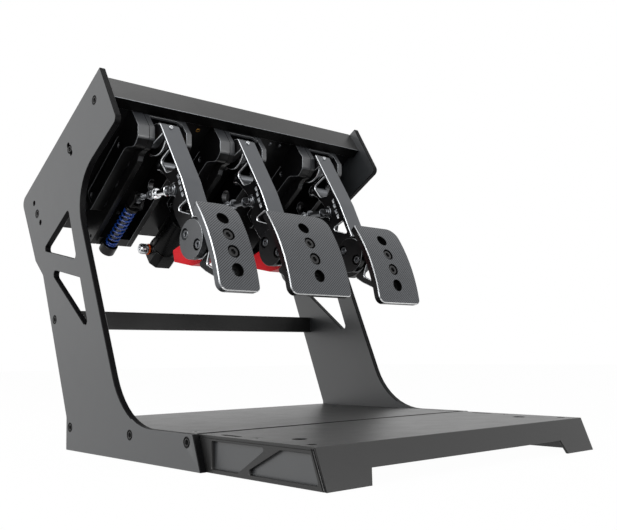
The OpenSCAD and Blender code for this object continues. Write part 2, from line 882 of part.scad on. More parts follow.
module screws(p) {
  dx = arm_dx[p];
  color(black)
    on_plate(unit_x[p]) {
      clamp_bolt_places()
        translate([0, 0, dx - web_t - disc_t - 1])
          difference() {
            union() {
              translate([0, 0, 6.5]) cylinder(h = 20, d = clamp_bolt_d);
              translate([0, 0, 2]) cylinder(h = 4.5, d = 10);
            }
            cylinder(h = 4.5, d = 5.8, $fn = 6);
          }
      for (i = [-1, 1])
        face_hole_place(p, i * face_hole_pitch / 2)
          difference() {
            union() {
              translate([0, 0, -15]) cylinder(h = 10, d = face_screw_d);
              translate([0, 0, -5.5]) cylinder(h = 4.5, d = face_screw_head);
            }
            translate([0, 0, -3.6]) cylinder(h = 4, d = 6.9, $fn = 6);
          }
      strap_screw_place(dx)
        difference() {
          union() {
            translate([0, 0, -12]) cylinder(h = 12.1, d = 4);
            translate([0, 0, 0.05]) cylinder(h = 1.8, d = 5.6);
          }
          translate([0, 0, 0.7]) cylinder(h = 3, d = 2.9, $fn = 6);
        }
    }
}
// The link's own frame: X runs from the arm's lug to the fork, Z across
module on_link(p) {
  on_plate(unit_x[p])
    translate([lug[0], -lug[1], arm_dx[p] - eye_gap - eye_t / 2])
      rotate([0, 0, atan2(-link_dir[1], link_dir[0])])
        children();
}
module along(s0, s1, d, sides = 64) {
  translate([s0, 0, 0])
    rotate([0, 90, 0])
      cylinder(h = s1 - s0, d = d, $fn = sides);
}
module link(p) {
  color(chrome)
    on_link(p)
      difference() {
        union() {
          translate([0, 0, -eye_t / 2]) cylinder(h = eye_t, r = eye_r);
          translate([link_len, 0, -eye_t / 2]) cylinder(h = eye_t, r = eye_r);
          along(eye_r - 1.5, link_len - eye_r + 1.5, 6);
          along(eye_r - 1, eye_r + 7, 2 * (eye_t / 2 + eye_gap) - 1);
          along(eye_r + 7, eye_r + 11, 10.4, 6);
          translate([41, 0, -3.5]) cylinder(h = 7, r = 7);
          along(50, 54, 10.4, 6);
          along(link_len - eye_r - 9, link_len - eye_r + 1, 9);
        }
        translate([0, 0, -eye_t]) cylinder(h = 2 * eye_t, d = pin_d + 2 * fit);
        translate([link_len, 0, -eye_t]) cylinder(h = 2 * eye_t, d = pin_d + 2 * fork_gap);
      }
}
module plunger(p) {
  x = shaft_x + arm_dx[p];
  inner = eye_t / 2 + 0.7;
  color(steel)
    on_plate(unit_x[p]) {
      difference() {
        union() {
          rod(shaft_depth, x, fork_s + eye_r + 1.5, shaft_end, shaft_d);
          rod(shaft_depth, x, collar_s, collar_s + collar_t, spring_d + 1);
          slab(x - inner - 3, x + inner + 3)
            polygon(rounded([
              [fork_s - 7, shaft_depth - 7, 6], [fork_s + 13, shaft_depth - 6],
              [fork_s + 13, shaft_depth + 6], [fork_s - 7, shaft_depth + 7, 6]
            ], 4));
        }
        slab(x - inner, x + inner)
          polygon([
            [fork_s - 12, shaft_depth - 12], [fork_s + eye_r + 1.5, shaft_depth - 12],
            [fork_s + eye_r + 1.5, shaft_depth + 12], [fork_s - 12, shaft_depth + 12]
          ]);
      }
      pin([fork_s, shaft_depth], x - inner - 2, x + inner + 2, pin_d);
      if (p == BRAKE) {
        // The side arm and the rod that works the cylinder
        translate([collar_s - 12, -shaft_depth - 6, cylinder_x - 7])
          cube([8, 12, x - inner - 1 - cylinder_x + 7]);
        rod(cylinder_depth, cylinder_x, collar_s - 8, cylinder_front + 26, 8);
      }
    }
}
// One point ring of a wire tube at turn angle t about the shaft's line
function coil_ring(t, x) =
  let (
    s = spring_start + wire_d / 2 + coil_pitch * t / 360,
    rise = coil_pitch / 360,
    along_turn = unit3([coil_pitch, -coil_r * 2 * PI * sin(t), coil_r * 2 * PI * cos(t)]),
    out = [0, cos(t), sin(t)],
    side = cross(along_turn, out)
  )
  [
    for (i = [0 : coil_sides - 1])
      let (a = 360 * i / coil_sides)
        [s, coil_r * cos(t) - shaft_depth, coil_r * sin(t) + x]
          + wire_d / 2 * (cos(a) * out + sin(a) * side)
  ];
function unit3(v) = v / norm(v);
module coil(p) {
  x = shaft_x + arm_dx[p];
  rings = spring_turns * coil_steps;
  points = [for (k = [0 : rings]) each coil_ring(360 * k / coil_steps, x)];
  last = rings * coil_sides;
  faces = concat(
    [[for (i = [0 : coil_sides - 1]) i]],
    [for (k = [0 : rings - 1], i = [0 : coil_sides - 1])
      let (a = k * coil_sides + i, b = k * coil_sides + (i + 1) % coil_sides)
        each [[a, a + coil_sides, b + coil_sides], [a, b + coil_sides, b]]],
    [[for (i = [coil_sides - 1 : -1 : 0]) last + i]]
  );
  color(p == CLUTCH ? [0.1, 0.25, 0.6] : black)
    on_plate(unit_x[p])
      polyhedron(points = points, faces = faces, convexity = 8);
}
module elastomers(p) {
  x = shaft_x + arm_dx[p];
  count = 5;
  step = (spring_end - spring_start) / count;
  color("dimgray")
    on_plate(unit_x[p])
      for (i = [0 : count - 1])
        difference() {
          rod(shaft_depth, x, spring_start + i * step, spring_start + (i + 1) * step - 0.2,
            spring_d);
          rod(shaft_depth, x, spring_start - 1, spring_end + 1, shaft_d + 0.6);
        }
}
module rear_blocks() {
  color(black)
    for (p = [CLUTCH, BRAKE, THROTTLE]) {
      x = shaft_x + arm_dx[p];
      on_plate(unit_x[p])
        difference() {
          union() {
            slab(wall_left, wall_right)
              polygon([
                [rear_block_s, under + web_h], [rear_block_s + rear_block_t, under + web_h],
                [rear_block_s + rear_block_t, wall_depth],
                [rear_block_s, wall_depth]
              ]);
            rod(shaft_depth, x, rear_block_s, rear_block_s + rear_block_t, spring_d + 5);
          }
          rod(shaft_depth, x, rear_block_s - 1, rear_block_s + rear_block_t + 1,
            shaft_d + 2 * fit);
        }
    }
}
module cylinder_body() {
  color(black)
    on_plate(unit_x[BRAKE])
      difference() {
        union() {
          rod(cylinder_depth, cylinder_x, cylinder_front, cylinder_front + cylinder_len,
            cylinder_d);
          rod(cylinder_depth, cylinder_x, cylinder_front + 8, cylinder_front + 11,
            cylinder_d);
        }
        rod(cylinder_depth, cylinder_x, cylinder_front - 1, cylinder_front + 30, 8 + 2 * fit);
        rod(cylinder_depth, cylinder_x, cylinder_front + 2, cylinder_front + 60, 14);
      }
}
module cylinder_saddle() {
  color(satin)
    on_plate(unit_x[BRAKE])
      difference() {
        translate([cylinder_front + 12, -cylinder_depth + 8, cylinder_x - 2])
          cube([34, cylinder_depth - block_depth - 8, 20]);
        rod(cylinder_depth, cylinder_x, cylinder_front, cylinder_front + 60,
          cylinder_d + 0.1);
      }
}
module end_block() {
  s0 = cylinder_front + cylinder_len;
  h = end_block_w / 2;
  cut = 8;
  color(satin)
    on_plate(unit_x[BRAKE])
      difference() {
        translate([s0, -cylinder_depth, cylinder_x])
          rotate([0, 90, 0])
            linear_extrude(end_block_len)
              polygon([
                [-h + cut, -h], [h - cut, -h], [h, -h + cut], [h, h - cut], [h - cut, h],
                [-h + cut, h], [-h, h - cut], [-h, -h + cut]
              ]);
        pin(adjuster_at, cylinder_x - h - 1, cylinder_x - h + 8, 6 + 2 * fit);
      }
}
module adjuster() {
  h = end_block_w / 2;
  x = cylinder_x - h;
  teeth = 12;
  color(steel)
    on_plate(unit_x[BRAKE]) {
      pin(adjuster_at, x - 3, x + 7.8, 6);
      difference() {
        pin(adjuster_at, x - 14, x - 2.2, 15);
        for (i = [0 : teeth - 1])
          translate([
            adjuster_at[0] + 7.8 * cos(360 * i / teeth),
            -adjuster_at[1] + 7.8 * sin(360 * i / teeth), x - 15
          ])
            cylinder(h = 9, d = 2.4, $fn = 16);
      }
    }
}
module adjuster_ring() {
  h = end_block_w / 2;
  x = cylinder_x - h;
  color([0.85, 0.3, 0.1])
    on_plate(unit_x[BRAKE])
      difference() {
        pin(adjuster_at, x - 2, x, 16);
        pin(adjuster_at, x - 3, x + 1, 6.4);
      }
}

side_plate(-1);  // side_plate_left
side_plate(1);  // side_plate_right
mount_plate();
fascia();
crossbar();
floor_deck();
heel_tray();
tray_cheek(-1);  // tray_cheek_left
tray_cheek(1);  // tray_cheek_right
joiner_bars();
frame_bolts();
yoke_bolts();
pivot_pins();
rear_blocks();
yoke(CLUTCH);  // clutch_yoke
side_block(CLUTCH);  // clutch_side_block
bushes(CLUTCH);  // clutch_bushes
arm(CLUTCH);  // clutch_arm
arm_pins(CLUTCH);  // clutch_arm_pins
disc(CLUTCH);  // clutch_disc
clamp_block(CLUTCH);  // clutch_clamp_block
bracket(CLUTCH);  // clutch_bracket
face(CLUTCH);  // clutch_face
screws(CLUTCH);  // clutch_screws
link(CLUTCH);  // clutch_link
plunger(CLUTCH);  // clutch_plunger
coil(CLUTCH);  // clutch_spring
yoke(BRAKE);  // brake_yoke
side_block(BRAKE);  // brake_side_block
bushes(BRAKE);  // brake_bushes
arm(BRAKE);  // brake_arm
arm_pins(BRAKE);  // brake_arm_pins
disc(BRAKE);  // brake_disc
clamp_block(BRAKE);  // brake_clamp_block
bracket(BRAKE);  // brake_bracket
face(BRAKE);  // brake_face
screws(BRAKE);  // brake_screws
link(BRAKE);  // brake_link
plunger(BRAKE);  // brake_plunger
elastomers(BRAKE);  // brake_elastomers
cylinder_body();  // brake_cylinder
cylinder_saddle();
end_block();  // brake_end_block
adjuster();  // brake_adjuster
adjuster_ring();
yoke(THROTTLE);  // throttle_yoke
side_block(THROTTLE);  // throttle_side_block
bushes(THROTTLE);  // throttle_bushes
arm(THROTTLE);  // throttle_arm
arm_pins(THROTTLE);  // throttle_arm_pins
disc(THROTTLE);  // throttle_disc
clamp_block(THROTTLE);  // throttle_clamp_block
bracket(THROTTLE);  // throttle_bracket
face(THROTTLE);  // throttle_face
screws(THROTTLE);  // throttle_screws
link(THROTTLE);  // throttle_link
plunger(THROTTLE);  // throttle_plunger
coil(THROTTLE);  // throttle_spring
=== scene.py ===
"""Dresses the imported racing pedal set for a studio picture."""
import json
import math

import bmesh
import bpy
from mathutils import Matrix, Vector


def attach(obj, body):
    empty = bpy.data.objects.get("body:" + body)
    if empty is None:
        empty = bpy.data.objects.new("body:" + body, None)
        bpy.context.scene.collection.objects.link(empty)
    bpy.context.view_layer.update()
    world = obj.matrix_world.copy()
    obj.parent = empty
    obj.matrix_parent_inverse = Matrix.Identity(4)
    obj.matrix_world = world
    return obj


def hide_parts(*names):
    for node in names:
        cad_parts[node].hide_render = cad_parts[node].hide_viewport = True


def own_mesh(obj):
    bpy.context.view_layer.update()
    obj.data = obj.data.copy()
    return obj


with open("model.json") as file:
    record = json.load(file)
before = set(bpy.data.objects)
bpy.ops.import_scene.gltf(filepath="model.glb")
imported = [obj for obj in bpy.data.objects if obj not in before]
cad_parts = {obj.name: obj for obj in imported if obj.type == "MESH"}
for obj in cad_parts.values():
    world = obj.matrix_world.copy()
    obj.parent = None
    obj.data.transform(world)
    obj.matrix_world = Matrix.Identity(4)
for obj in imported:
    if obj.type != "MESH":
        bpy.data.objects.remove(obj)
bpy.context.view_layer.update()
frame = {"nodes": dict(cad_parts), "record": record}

bl_info = {
    "name": "Racing pedal set",
    "version": (1, 0, 0),
    "blender": (4, 5, 0),
    "location": "3D View > Sidebar > Pedal set",
    "description": "Surfaces, small parts, stage and camera for the packed racing pedal set",
    "category": "Object",
}

MM = 0.001
RECORD_SLOTS = {entry["node"]: entry["material_slot"] for entry in frame["record"]["subparts"]}
BODY_OF = {
    node: body
    for body, members in frame["record"]["behaviour"]["bodies"].items()
    for node in members
}

# Lengths are in mm from here on, and MM turns them to metres
# The mounting plate's own frame: X runs down its slope, Y up out of it, Z across the set
PLATE_SLOPE = math.radians(36.2)
PLATE_POINT = Vector((0, 94.953, 424)) * MM
ON_PLATE = Matrix.Translation(PLATE_POINT) @ Matrix((
    (0, 0, 1, 0),
    (math.cos(PLATE_SLOPE), math.sin(PLATE_SLOPE), 0, 0),
    (-math.sin(PLATE_SLOPE), math.cos(PLATE_SLOPE), 0, 0),
    (0, 0, 0, 1),
))
PLATE_HALF = 4
# Each unit's middle, and its arm's place beside that middle, across the set
UNITS = {"clutch": -131.3, "brake": -7.9, "throttle": 137.2}
ARM_SHIFT = {"clutch": 0, "brake": -2.5, "throttle": -7.5}

# Screw heads and a threaded insert in the plate's underside: across, along and radius
UNDER_SCREWS = ((57, 7.8, 2.6), (75, 7.7, 2.6), (-42, 20, 1.6), (106.5, 20.5, 1.6), (131, 38, 1.6))
UNDER_INSERT = (-65.9, 10, 2.9)
# Below this depth under the plate a point is on the fascia's lip
LIP_DEPTH = 8
# A frame bolt's head begins this far out, and its ring of painted shade is this wide
BOLT_FACE = 219
BOLT_RING = 1.25
# The tray's front corner as a line in Y and Z, the two joints along it, and the deck's seam
TRAY_CORNER = ((-287.35, 36.3), (-301.85, 0.6))
JOINT_STARTS = (0.8, 3.6)
JOINT_WIDTH = 1.7
JOINT_DROP = 1.5
CHEEK_FACE = 212
DECK_TOP = 36.3
DECK_SEAM = (-114.35, -113.55)
SEAM_RISE = 0.6
# A dark line reaches this far into and out of its face
LINE_HALF = 0.05
# Raises an outline in Y and Z across the set
ACROSS = Matrix(((0, 0, 1, 0), (1, 0, 0, 0), (0, 1, 0, 0), (0, 0, 0, 1)))

# The yoke's front web between its walls, across and above the plate's middle
LINTEL = ((-17.5, -7.5), (29, -7.5), (29, -19), (22.5, -12.5), (-17.5, -12.5))
LINTEL_SPAN = (-0.5, 2.9)
LINTEL_TURN = Matrix(((0, 0, -1, 0), (0, 1, 0, 0), (1, 0, 0, 0), (0, 0, 0, 1)))
# Where the side block meets the yoke's wall, beside the unit's middle, and its dark reach
BLOCK_JOINT = -25.5
BLOCK_JOINT_REACH = 0.5

# The arm's bores, each down the plate and below its middle: they keep plain rims this far out
PIVOT = (17, 28)
SLEEVE = (34, 61)
LUG = (27, 112)
CLAMP_BOLTS = ((33.1, 208.7), (21.5, 181.7))
ARM_PLAIN = ((PIVOT, 14.6),) + tuple((at, 4.5) for at in (SLEEVE, LUG) + CLAMP_BOLTS)
# The arm's four small windows lie in here, and their walls are this deep
WINDOWS_ALONG = (5, 20)
WINDOWS_DOWN = (101, 135)
WINDOWS_DEEP = (-4, 0)
# The clamp disc's middle, down the plate and below it, and where its rim begins
CLAMP_AT = (27.3, 195.2)
DISC_RIM = 23.5
POCKET_REACH = 7.6
# The strap's top screw is above this depth, and the clamp's bolts are this far down the plate
TOP_SCREW_DEPTH = 100
CLAMP_BOLTS_ALONG = 10
SCREW_EDGE = 0.3

# The face's arc, down the plate and below its middle
FACE_DOWN = Vector((0.197, 0.980)).normalized()
FACE_OUT = Vector((-FACE_DOWN.y, FACE_DOWN.x))
FACE_MIDDLE = Vector((-13.9, 242.1))
FACE_RADIUS = 226
FACE_SAG = 7.5
FACE_THICK = 8.5
FACE_HEIGHT = 116
FACE_WIDTH = {"clutch": 56, "brake": 98, "throttle": 78}
FACE_SHIFT = {"clutch": -2.7, "brake": -3.6, "throttle": -11.2}
FACE_DROP = {"clutch": 0, "brake": 0, "throttle": 5}
FACE_STRIPS = 36
RIB_SLANT = math.radians(38)
RIB_DEPTH = 0.12
# The counterbored holes: their cups' radius, floor and back, and the bores under them
FACE_PITCH = 22.5
FACE_BORE = 8.1
CUP_FLOOR = -5.5
CUP_BACK = -FACE_THICK + 0.1
SCREW_BORE = 3.1
THREAD_BORE = 3.7

# A sliding shaft's line under the plate and beside its arm, and where its spring sits on it
SHAFT_DEPTH = 58.5
SHAFT_SHIFT = -4.5
SPRING_START = 116.27
SPRING_END = 183.7
COIL_PLAY = 0.3
COIL_OUTER = 17
COIL_TURNS = 10
COIL_SIDES = 12
COIL_STEPS = 28
ELASTOMERS = 5
# The link from the arm's lug to the shaft's fork: its eyes' distance, slope and shift
LINK_LENGTH = 86.5
LINK_TURN = math.asin((LUG[1] - SHAFT_DEPTH) / LINK_LENGTH)
EYE_MIDDLE = -4.5
BALL_RADIUS = 5.3
LINK_THREAD = (42, LINK_LENGTH - 12)
LINK_NUT = (52, 56)
# A thread's roots, as a share of its crests' radius
THREAD_ROOT = 0.86
# The adjuster's foot on the end block: down the plate, above it and across
ADJUSTER_AT = (192, -55, -64)
KNOB_TEETH = ((-0.3, 6.2), (-0.24, 7.6), (0.24, 7.6), (0.3, 6.2))
RING_TEETH = ((-0.3, 7.3), (-0.22, 8.0), (0.22, 8.0), (0.3, 7.3))

# How much of a normal lies in some direction: hardly any, half, most or nearly all of it
HARDLY, HALF, MOSTLY, FULLY = 0.3, 0.5, 0.9, 0.95
SIDE_WALL = 0.7
# Corners sharper than this are cut, flatter joins are merged, and curves this even are smooth
SHARP_CORNER = math.radians(40)
FLAT_JOIN = math.radians(0.4)
SMOOTH_CURVE = math.radians(28)
SQUARE_RIM = math.radians(80)
CORNER_STEPS = 8
# The widest strips of a smooth curve, of a hole in sheet and of a bolt hole's rim
WIDEST_STRIP = 300 * MM * MM
WIDEST_HOLE_STRIP = 40 * MM * MM
BOLT_HOLE_STRIP = 1.6 * MM * MM

# The slow change of a finish is this wide. A noise keeps mostly inside its range
BLOTCH = 25
NOISE_RANGE = {"From Min": 0.3, "From Max": 0.7}
FLECK_SHARE = 0.35
FLECK_TONE = {"To Min": 0.8, "To Max": 1.15}
# The ribs' painted shading, as a share of the colour: dark between the crests, a little lighter on
# them
RIB_PAINTED_SHADING = {"From Min": -1.0, "From Max": 0.6, "To Min": 0.3, "To Max": 1.1}

# The stage, in metres: the paper's tone to light and to the camera, and its share in gloss
FLOOR_REACH = 6
FLOOR_DROP = 0.0005
PAPER_BOUNCE = 0.5
PAPER_TONE = 0.86
PAPER_WHITE = 0.98
FLOOR_IN_GLOSS = 0.7
SKY_STRENGTH = 0.35
# Soft boxes: name, place, width and height, and watts. All face the set's middle
SET_MIDDLE = Vector((0, 0, 0.22))
LAMPS = (
    ("key_soft_box", (-2.0, -0.7, 1.7), (1.4, 1.4), 40),
    ("left_strip", (-2.0, 0.5, 0.9), (0.7, 1.6), 20),
    ("top_soft_box", (0.1, 0.4, 2.1), (1.6, 1.0), 5),
    ("front_strip", (0.5, -2.0, 0.3), (1.4, 0.5), 14),
    ("front_left_box", (-1.5, -1.7, 0.7), (0.8, 0.8), 10),
)
# The camera, as solved from the photo's straight edges: azimuth, elevation and roll
CAMERA_AT = Vector((-0.6802, -0.80575, 0.1140))
CAMERA_TURN = [math.radians(angle) for angle in (-41.78, -4.11, -0.62)]
CAMERA_LENS = 48.1
CAMERA_SHIFT_Y = 0.049


def linear(hex_colour):
    """An sRGB colour written as #rrggbb, as linear red, green and blue."""
    parts = [int(hex_colour[i:i + 2], 16) / 255 for i in (1, 3, 5)]
    return tuple(c / 12.92 if c <= 0.04045 else ((c + 0.055) / 1.055) ** 2.4 for c in parts)


def colour(label, about, hex_colour):
    return bpy.props.FloatVectorProperty(
        name=label, description=about, subtype="COLOR", size=3, min=0, max=1,
        default=linear(hex_colour))


def length(label, about, millimetres):
    return bpy.props.FloatProperty(
        name=label, description=about, subtype="DISTANCE", unit="LENGTH",
        default=millimetres * MM, min=0)


class PedalColours(bpy.types.PropertyGroup):
    plate_coat: colour("Side plates", "Grey powder coat of the side plates", "#222426")
    deck_coat: colour("Deck", "Dark powder coat of the deck, tray and crossbar", "#0e0e0e")
    anodised: colour("Anodised parts", "Black anodised yokes and blocks", "#070708")
    arm: colour("Arms", "Dark anodised arms and brackets", "#5a5c5f")
    face: colour("Faces", "Dark anodised pedal faces", "#55575a")
    polished: colour("Bright edges", "Bare metal of the cut edges", "#d9dcdf")
    clamp: colour("Clamp blocks", "Red anodised clamp blocks", "#d30f1e")
    spring: colour("Clutch spring", "Blue enamel of the clutch spring", "#123f93")
    ring: colour("Adjuster ring", "Orange plastic ring under the knob", "#e2591c")


class PedalSizes(bpy.types.PropertyGroup):
    face_edge: length("Face edge", "Width of the bright chamfer round a face", 1.0)
    arm_edge: length("Arm edge", "Width of the bright chamfer along an arm", 0.75)
    plate_edge: length("Plate edge", "Width of the chamfer along a side plate", 0.7)
    # These chamfers carry the painted highlight
    block_edge: length("Block edge", "Width of the rubbed edges of the black blocks", 0.4)
    small_edge: length("Small edge", "Width of the broken edges of sheet and small parts", 0.4)
    rib_pitch: length("Rib pitch", "Distance between the fine ribs of a face", 2.3)


def add(tree, kind, inputs=None, **settings):
    """Adds a node, with its settings, its inputs' values and their links."""
    node = tree.nodes.new(kind)
    for key, value in settings.items():
        setattr(node, key, value)
    for key, value in (inputs or {}).items():
        if isinstance(value, bpy.types.NodeSocket):
            tree.links.new(value, node.inputs[key])
        else:
            node.inputs[key].default_value = value
    return node


MADE = {}


def per_mm(millimetres):
    """A texture's scale for a grain of that size."""
    return 1000 / millimetres


def make_finish(key, name, base, rough, grain=0.3, bump=0.01, shade=0.12, rough_range=0.06,
                **sockets):
    """A worked surface: fine grain in its height, slow change in its colour and gloss.

    The grain of blasted, ground and anodised metal is too fine to show, so it is drawn
    0.2 mm wide or more.
    """
    base = linear(base) if isinstance(base, str) else base
    MADE[key] = material = bpy.data.materials.new(name)
    material.use_nodes = True
    tree = material.node_tree
    surface = tree.nodes["Principled BSDF"]
    place = add(tree, "ShaderNodeTexCoord").outputs["Object"]
    fine = add(tree, "ShaderNodeTexNoise", {
        "Vector": place, "Scale": per_mm(grain), "Detail": 3, "Roughness": 0.6})
    slow = add(tree, "ShaderNodeTexNoise", {
        "Vector": place, "Scale": per_mm(BLOTCH), "Detail": 4, "Roughness": 0.55})
    low = tuple(c * (1 - shade) for c in base) + (1,)
    high = tuple(min(1, c * (1 + shade)) for c in base) + (1,)
    tone = add(tree, "ShaderNodeMix", {
        "Factor": slow.outputs["Fac"], "A": low, "B": high}, data_type="RGBA")
    fleck = add(tree, "ShaderNodeMapRange", {
        "Value": fine.outputs["Fac"], **NOISE_RANGE, **FLECK_TONE})
    speck = add(tree, "ShaderNodeMix", {
        "Factor": FLECK_SHARE, "A": tone.outputs["Result"], "B": fleck.outputs[0]},
        data_type="RGBA", blend_type="MULTIPLY")
    gloss = add(tree, "ShaderNodeMapRange", {
        "Value": slow.outputs["Fac"], **NOISE_RANGE,
        "To Min": rough - rough_range, "To Max": rough + rough_range})
    height = add(tree, "ShaderNodeBump", {
        "Height": fine.outputs["Fac"], "Distance": bump * MM})
    for key, output in (("Base Color", speck.outputs["Result"]), ("Roughness", gloss.outputs[0]),
                        ("Normal", height.outputs[0])):
        tree.links.new(output, surface.inputs[key])
    for key, value in sockets.items():
        surface.inputs[key.replace("_", " ")].default_value = value


def add_ribs(key, pitch):
    """Adds the fine ribs milled slantwise across a face's front, with painted shade between their
    crests and a faint painted highlight on them.
    """
    tree = MADE[key].node_tree
    surface = tree.nodes["Principled BSDF"]
    place = add(tree, "ShaderNodeTexCoord").outputs["Object"]
    up = ON_PLATE.to_3x3() @ Vector((-FACE_DOWN.x, FACE_DOWN.y, 0))
    across = math.cos(RIB_SLANT) * up - math.sin(RIB_SLANT) * Vector((1, 0, 0))
    climb = add(tree, "ShaderNodeVectorMath", {0: place, 1: across * (math.tau / pitch)},
                operation="DOT_PRODUCT")
    wave = add(tree, "ShaderNodeMath", {0: climb.outputs["Value"]}, operation="SINE")
    grain = surface.inputs["Normal"].links[0].from_socket
    ribs = add(tree, "ShaderNodeBump", {
        "Height": wave.outputs[0], "Distance": RIB_DEPTH * MM, "Normal": grain})
    tree.links.new(ribs.outputs[0], surface.inputs["Normal"])
    rib_painted_shade = add(tree, "ShaderNodeMapRange", {"Value": wave.outputs[0], **RIB_PAINTED_SHADING})
    plain = surface.inputs["Base Color"].links[0].from_socket
    shade = add(tree, "ShaderNodeVectorMath", {0: plain, 1: rib_painted_shade.outputs[0]},
                operation="MULTIPLY")
    tree.links.new(shade.outputs[0], surface.inputs["Base Color"])


def materials():
    """The finishes, made once. Each is named for the real material and how it was worked, and the
    painted light or shade among them says so.
    """
    if MADE:
        return MADE
    c = bpy.context.scene.pedal_colours
    # Powder coat is sprayed and baked: an even satin skin with a faint orange peel
    make_finish("plate coat", "powder_coat_grey", c.plate_coat, 0.34, grain=0.7, bump=0.03,
                shade=0.04, rough_range=0.02, IOR=1.85)
    # The deck's coat is darker, and its peel is coarser and catches more light
    make_finish("deck coat", "powder_coat_dark", c.deck_coat, 0.38, grain=1.4, bump=0.08,
                shade=0.04, rough_range=0.02, IOR=1.52)
    # The crossbar's is nearly black, and hardly mirrors the room
    make_finish("bar coat", "powder_coat_black", "#060606", 0.38, grain=0.7, bump=0.03,
                shade=0.04, rough_range=0.02, IOR=1.3)
    # Painted shade: a near-black copy of the coat, for the walls the laser cut in the plates and
    # the chamfers that face front and left
    make_finish("cut wall", "powder_coat_painted_shade", "#050506", 0.5, grain=0.7, bump=0.03,
                IOR=1.2)
    # Black anodising over bead-blasted aluminium: deep, slightly soft, no orange peel
    make_finish("anodised", "anodised_aluminium_black", c.anodised, 0.34, grain=0.25, IOR=1.4)
    # Painted shade: a deeper, less reflective copy of the black anodising, for the brake's
    # cylinder and end block, with a tighter gloss
    make_finish("cylinder metal", "anodised_aluminium_painted_shade", "#050506", 0.26, grain=0.25,
                bump=0.006, IOR=1.24)
    # Painted light: a lighter grey copy of the black anodising, for the fronts of the yokes'
    # noses, the lintels and the clutch's disc, to lift them off the black
    make_finish("nose metal", "anodised_aluminium_painted_light", "#2b2d30", 0.4, grain=0.25, IOR=1.8)
    # Graphite anodising is thin: the milled metal still glints through the grey
    make_finish("arm metal", "anodised_aluminium_graphite", c.arm, 0.34, Metallic=0.75)
    # The faces were milled in ribs and then anodised, so the light breaks along each crest; the
    # ribs also paint shade between the crests
    make_finish("face metal", "milled_aluminium_anodised", c.face, 0.36, Metallic=0.55)
    add_ribs("face metal", bpy.context.scene.pedal_sizes.rib_pitch)
    # Edges cut after anodising are bare: bright, with the cutter's fine lines
    make_finish("bright edge", "diamond_cut_aluminium", c.polished, 0.34, Metallic=0.6,
                grain=0.2, bump=0.004, shade=0.04, rough_range=0.04)
    # A face's chamfers are polished too. The upper ones mirror the dim room, over a mid grey
    make_finish("face edge", "polished_aluminium_chamfer", "#9c9ea0", 0.3, Metallic=0.8,
                grain=0.2, bump=0.002, shade=0.02, rough_range=0.03)
    # The lower ones are the same metal painted nearly white: a painted highlight where the lamps
    # don't reach
    make_finish("lower edge", "polished_aluminium_chamfer_painted_highlight", "#f4f5f6", 0.3, Metallic=0.3,
                grain=0.2, bump=0.002, shade=0.02, rough_range=0.03)
    # Painted highlight: a satin grey for the chamfers of the black blocks, the fascia's lip and
    # the discs' rims
    make_finish("rubbed edge", "aluminium_edge_painted_highlight", "#7b7e81", 0.4, Metallic=0.6, grain=0.2,
                bump=0.004, shade=0.04, rough_range=0.04)
    # Red anodising is a clear dye over metal: a strong colour with a glint under it
    make_finish("red", "anodised_aluminium_red", c.clamp, 0.34, Metallic=0.6, grain=0.4,
                bump=0.004, shade=0.05)
    # Zinc plating turns steel pale grey, with a soft and slightly cloudy sheen
    make_finish("zinc", "zinc_plated_steel", "#a9abac", 0.33, Metallic=1, grain=0.4, bump=0.008)
    # Ground steel is bright with a tight gloss, and satin steel is greyer and softer
    make_finish("ground steel", "ground_steel", "#b9bbbd", 0.24, Metallic=1, bump=0.006)
    make_finish("satin steel", "satin_steel", "#6d6f72", 0.36, Metallic=1, bump=0.006)
    # Black oxide is only a skin: dull black, with a little of the steel's gloss left
    make_finish("black oxide", "black_oxide_steel", "#0b0b0c", 0.34, Metallic=0.2, bump=0.008)
    # Sintered bronze is porous: a warm, dull yellow
    make_finish("bronze", "sintered_bronze", "#b98a45", 0.42, Metallic=1, grain=0.2, bump=0.02)
    # Chrome over polished steel mirrors the room almost sharply
    make_finish("chrome", "chrome_plate", "#e6e8ea", 0.09, Metallic=1, grain=0.4, bump=0.002,
                shade=0.02, rough_range=0.03)
    # Enamel is dipped and lies thick on the wire: a full colour under a clear gloss
    make_finish("blue", "spring_enamel_blue", c.spring, 0.3, grain=0.5, Coat_Weight=0.4,
                Coat_Roughness=0.15)
    make_finish("black enamel", "spring_enamel_black", "#151517", 0.3, grain=0.5)
    # Painted shade: near black for bores, pockets, hole rims, countersinks and undersides, where
    # hardly any light comes back; the dark joints use it too
    make_finish("bore black", "painted_shade_and_gap_black", "#030303", 0.4, grain=0.4, IOR=1.2)
    # Cast polyurethane is a dull, dark rubber
    make_finish("elastomer", "polyurethane_rubber", "#232324", 0.6, grain=0.4, bump=0.03)
    # Turned and left bare: the brightest metal, broken only by the tool's fine marks
    make_finish("knob metal", "turned_aluminium", "#d0d2d4", 0.25, Metallic=1, bump=0.006)
    # Moulded acetal: an even orange with a waxy gloss
    make_finish("ring", "acetal_orange", c.ring, 0.32, grain=0.5, bump=0.006)
    return MADE


SLOT_FINISH = {
    "frame_coat": "plate coat", "black_coat": "deck coat", "zinc": "zinc",
    "black_screw": "black oxide", "bright_screw": "zinc", "pin_steel": "ground steel",
    "black_anodised": "anodised", "arm_metal": "arm metal", "face_metal": "face metal",
    "red_anodised": "red", "bronze": "bronze", "rod_chrome": "chrome",
    "blue_spring": "blue", "black_spring": "black enamel", "elastomer": "elastomer",
    "knob_metal": "knob metal", "orange_ring": "ring",
}


def finish_node(node):
    """Gives a CAD node the finish of its slot."""
    data = frame["nodes"][node].data
    data.materials.clear()
    data.materials.append(materials()[SLOT_FINISH[RECORD_SLOTS[node]]])


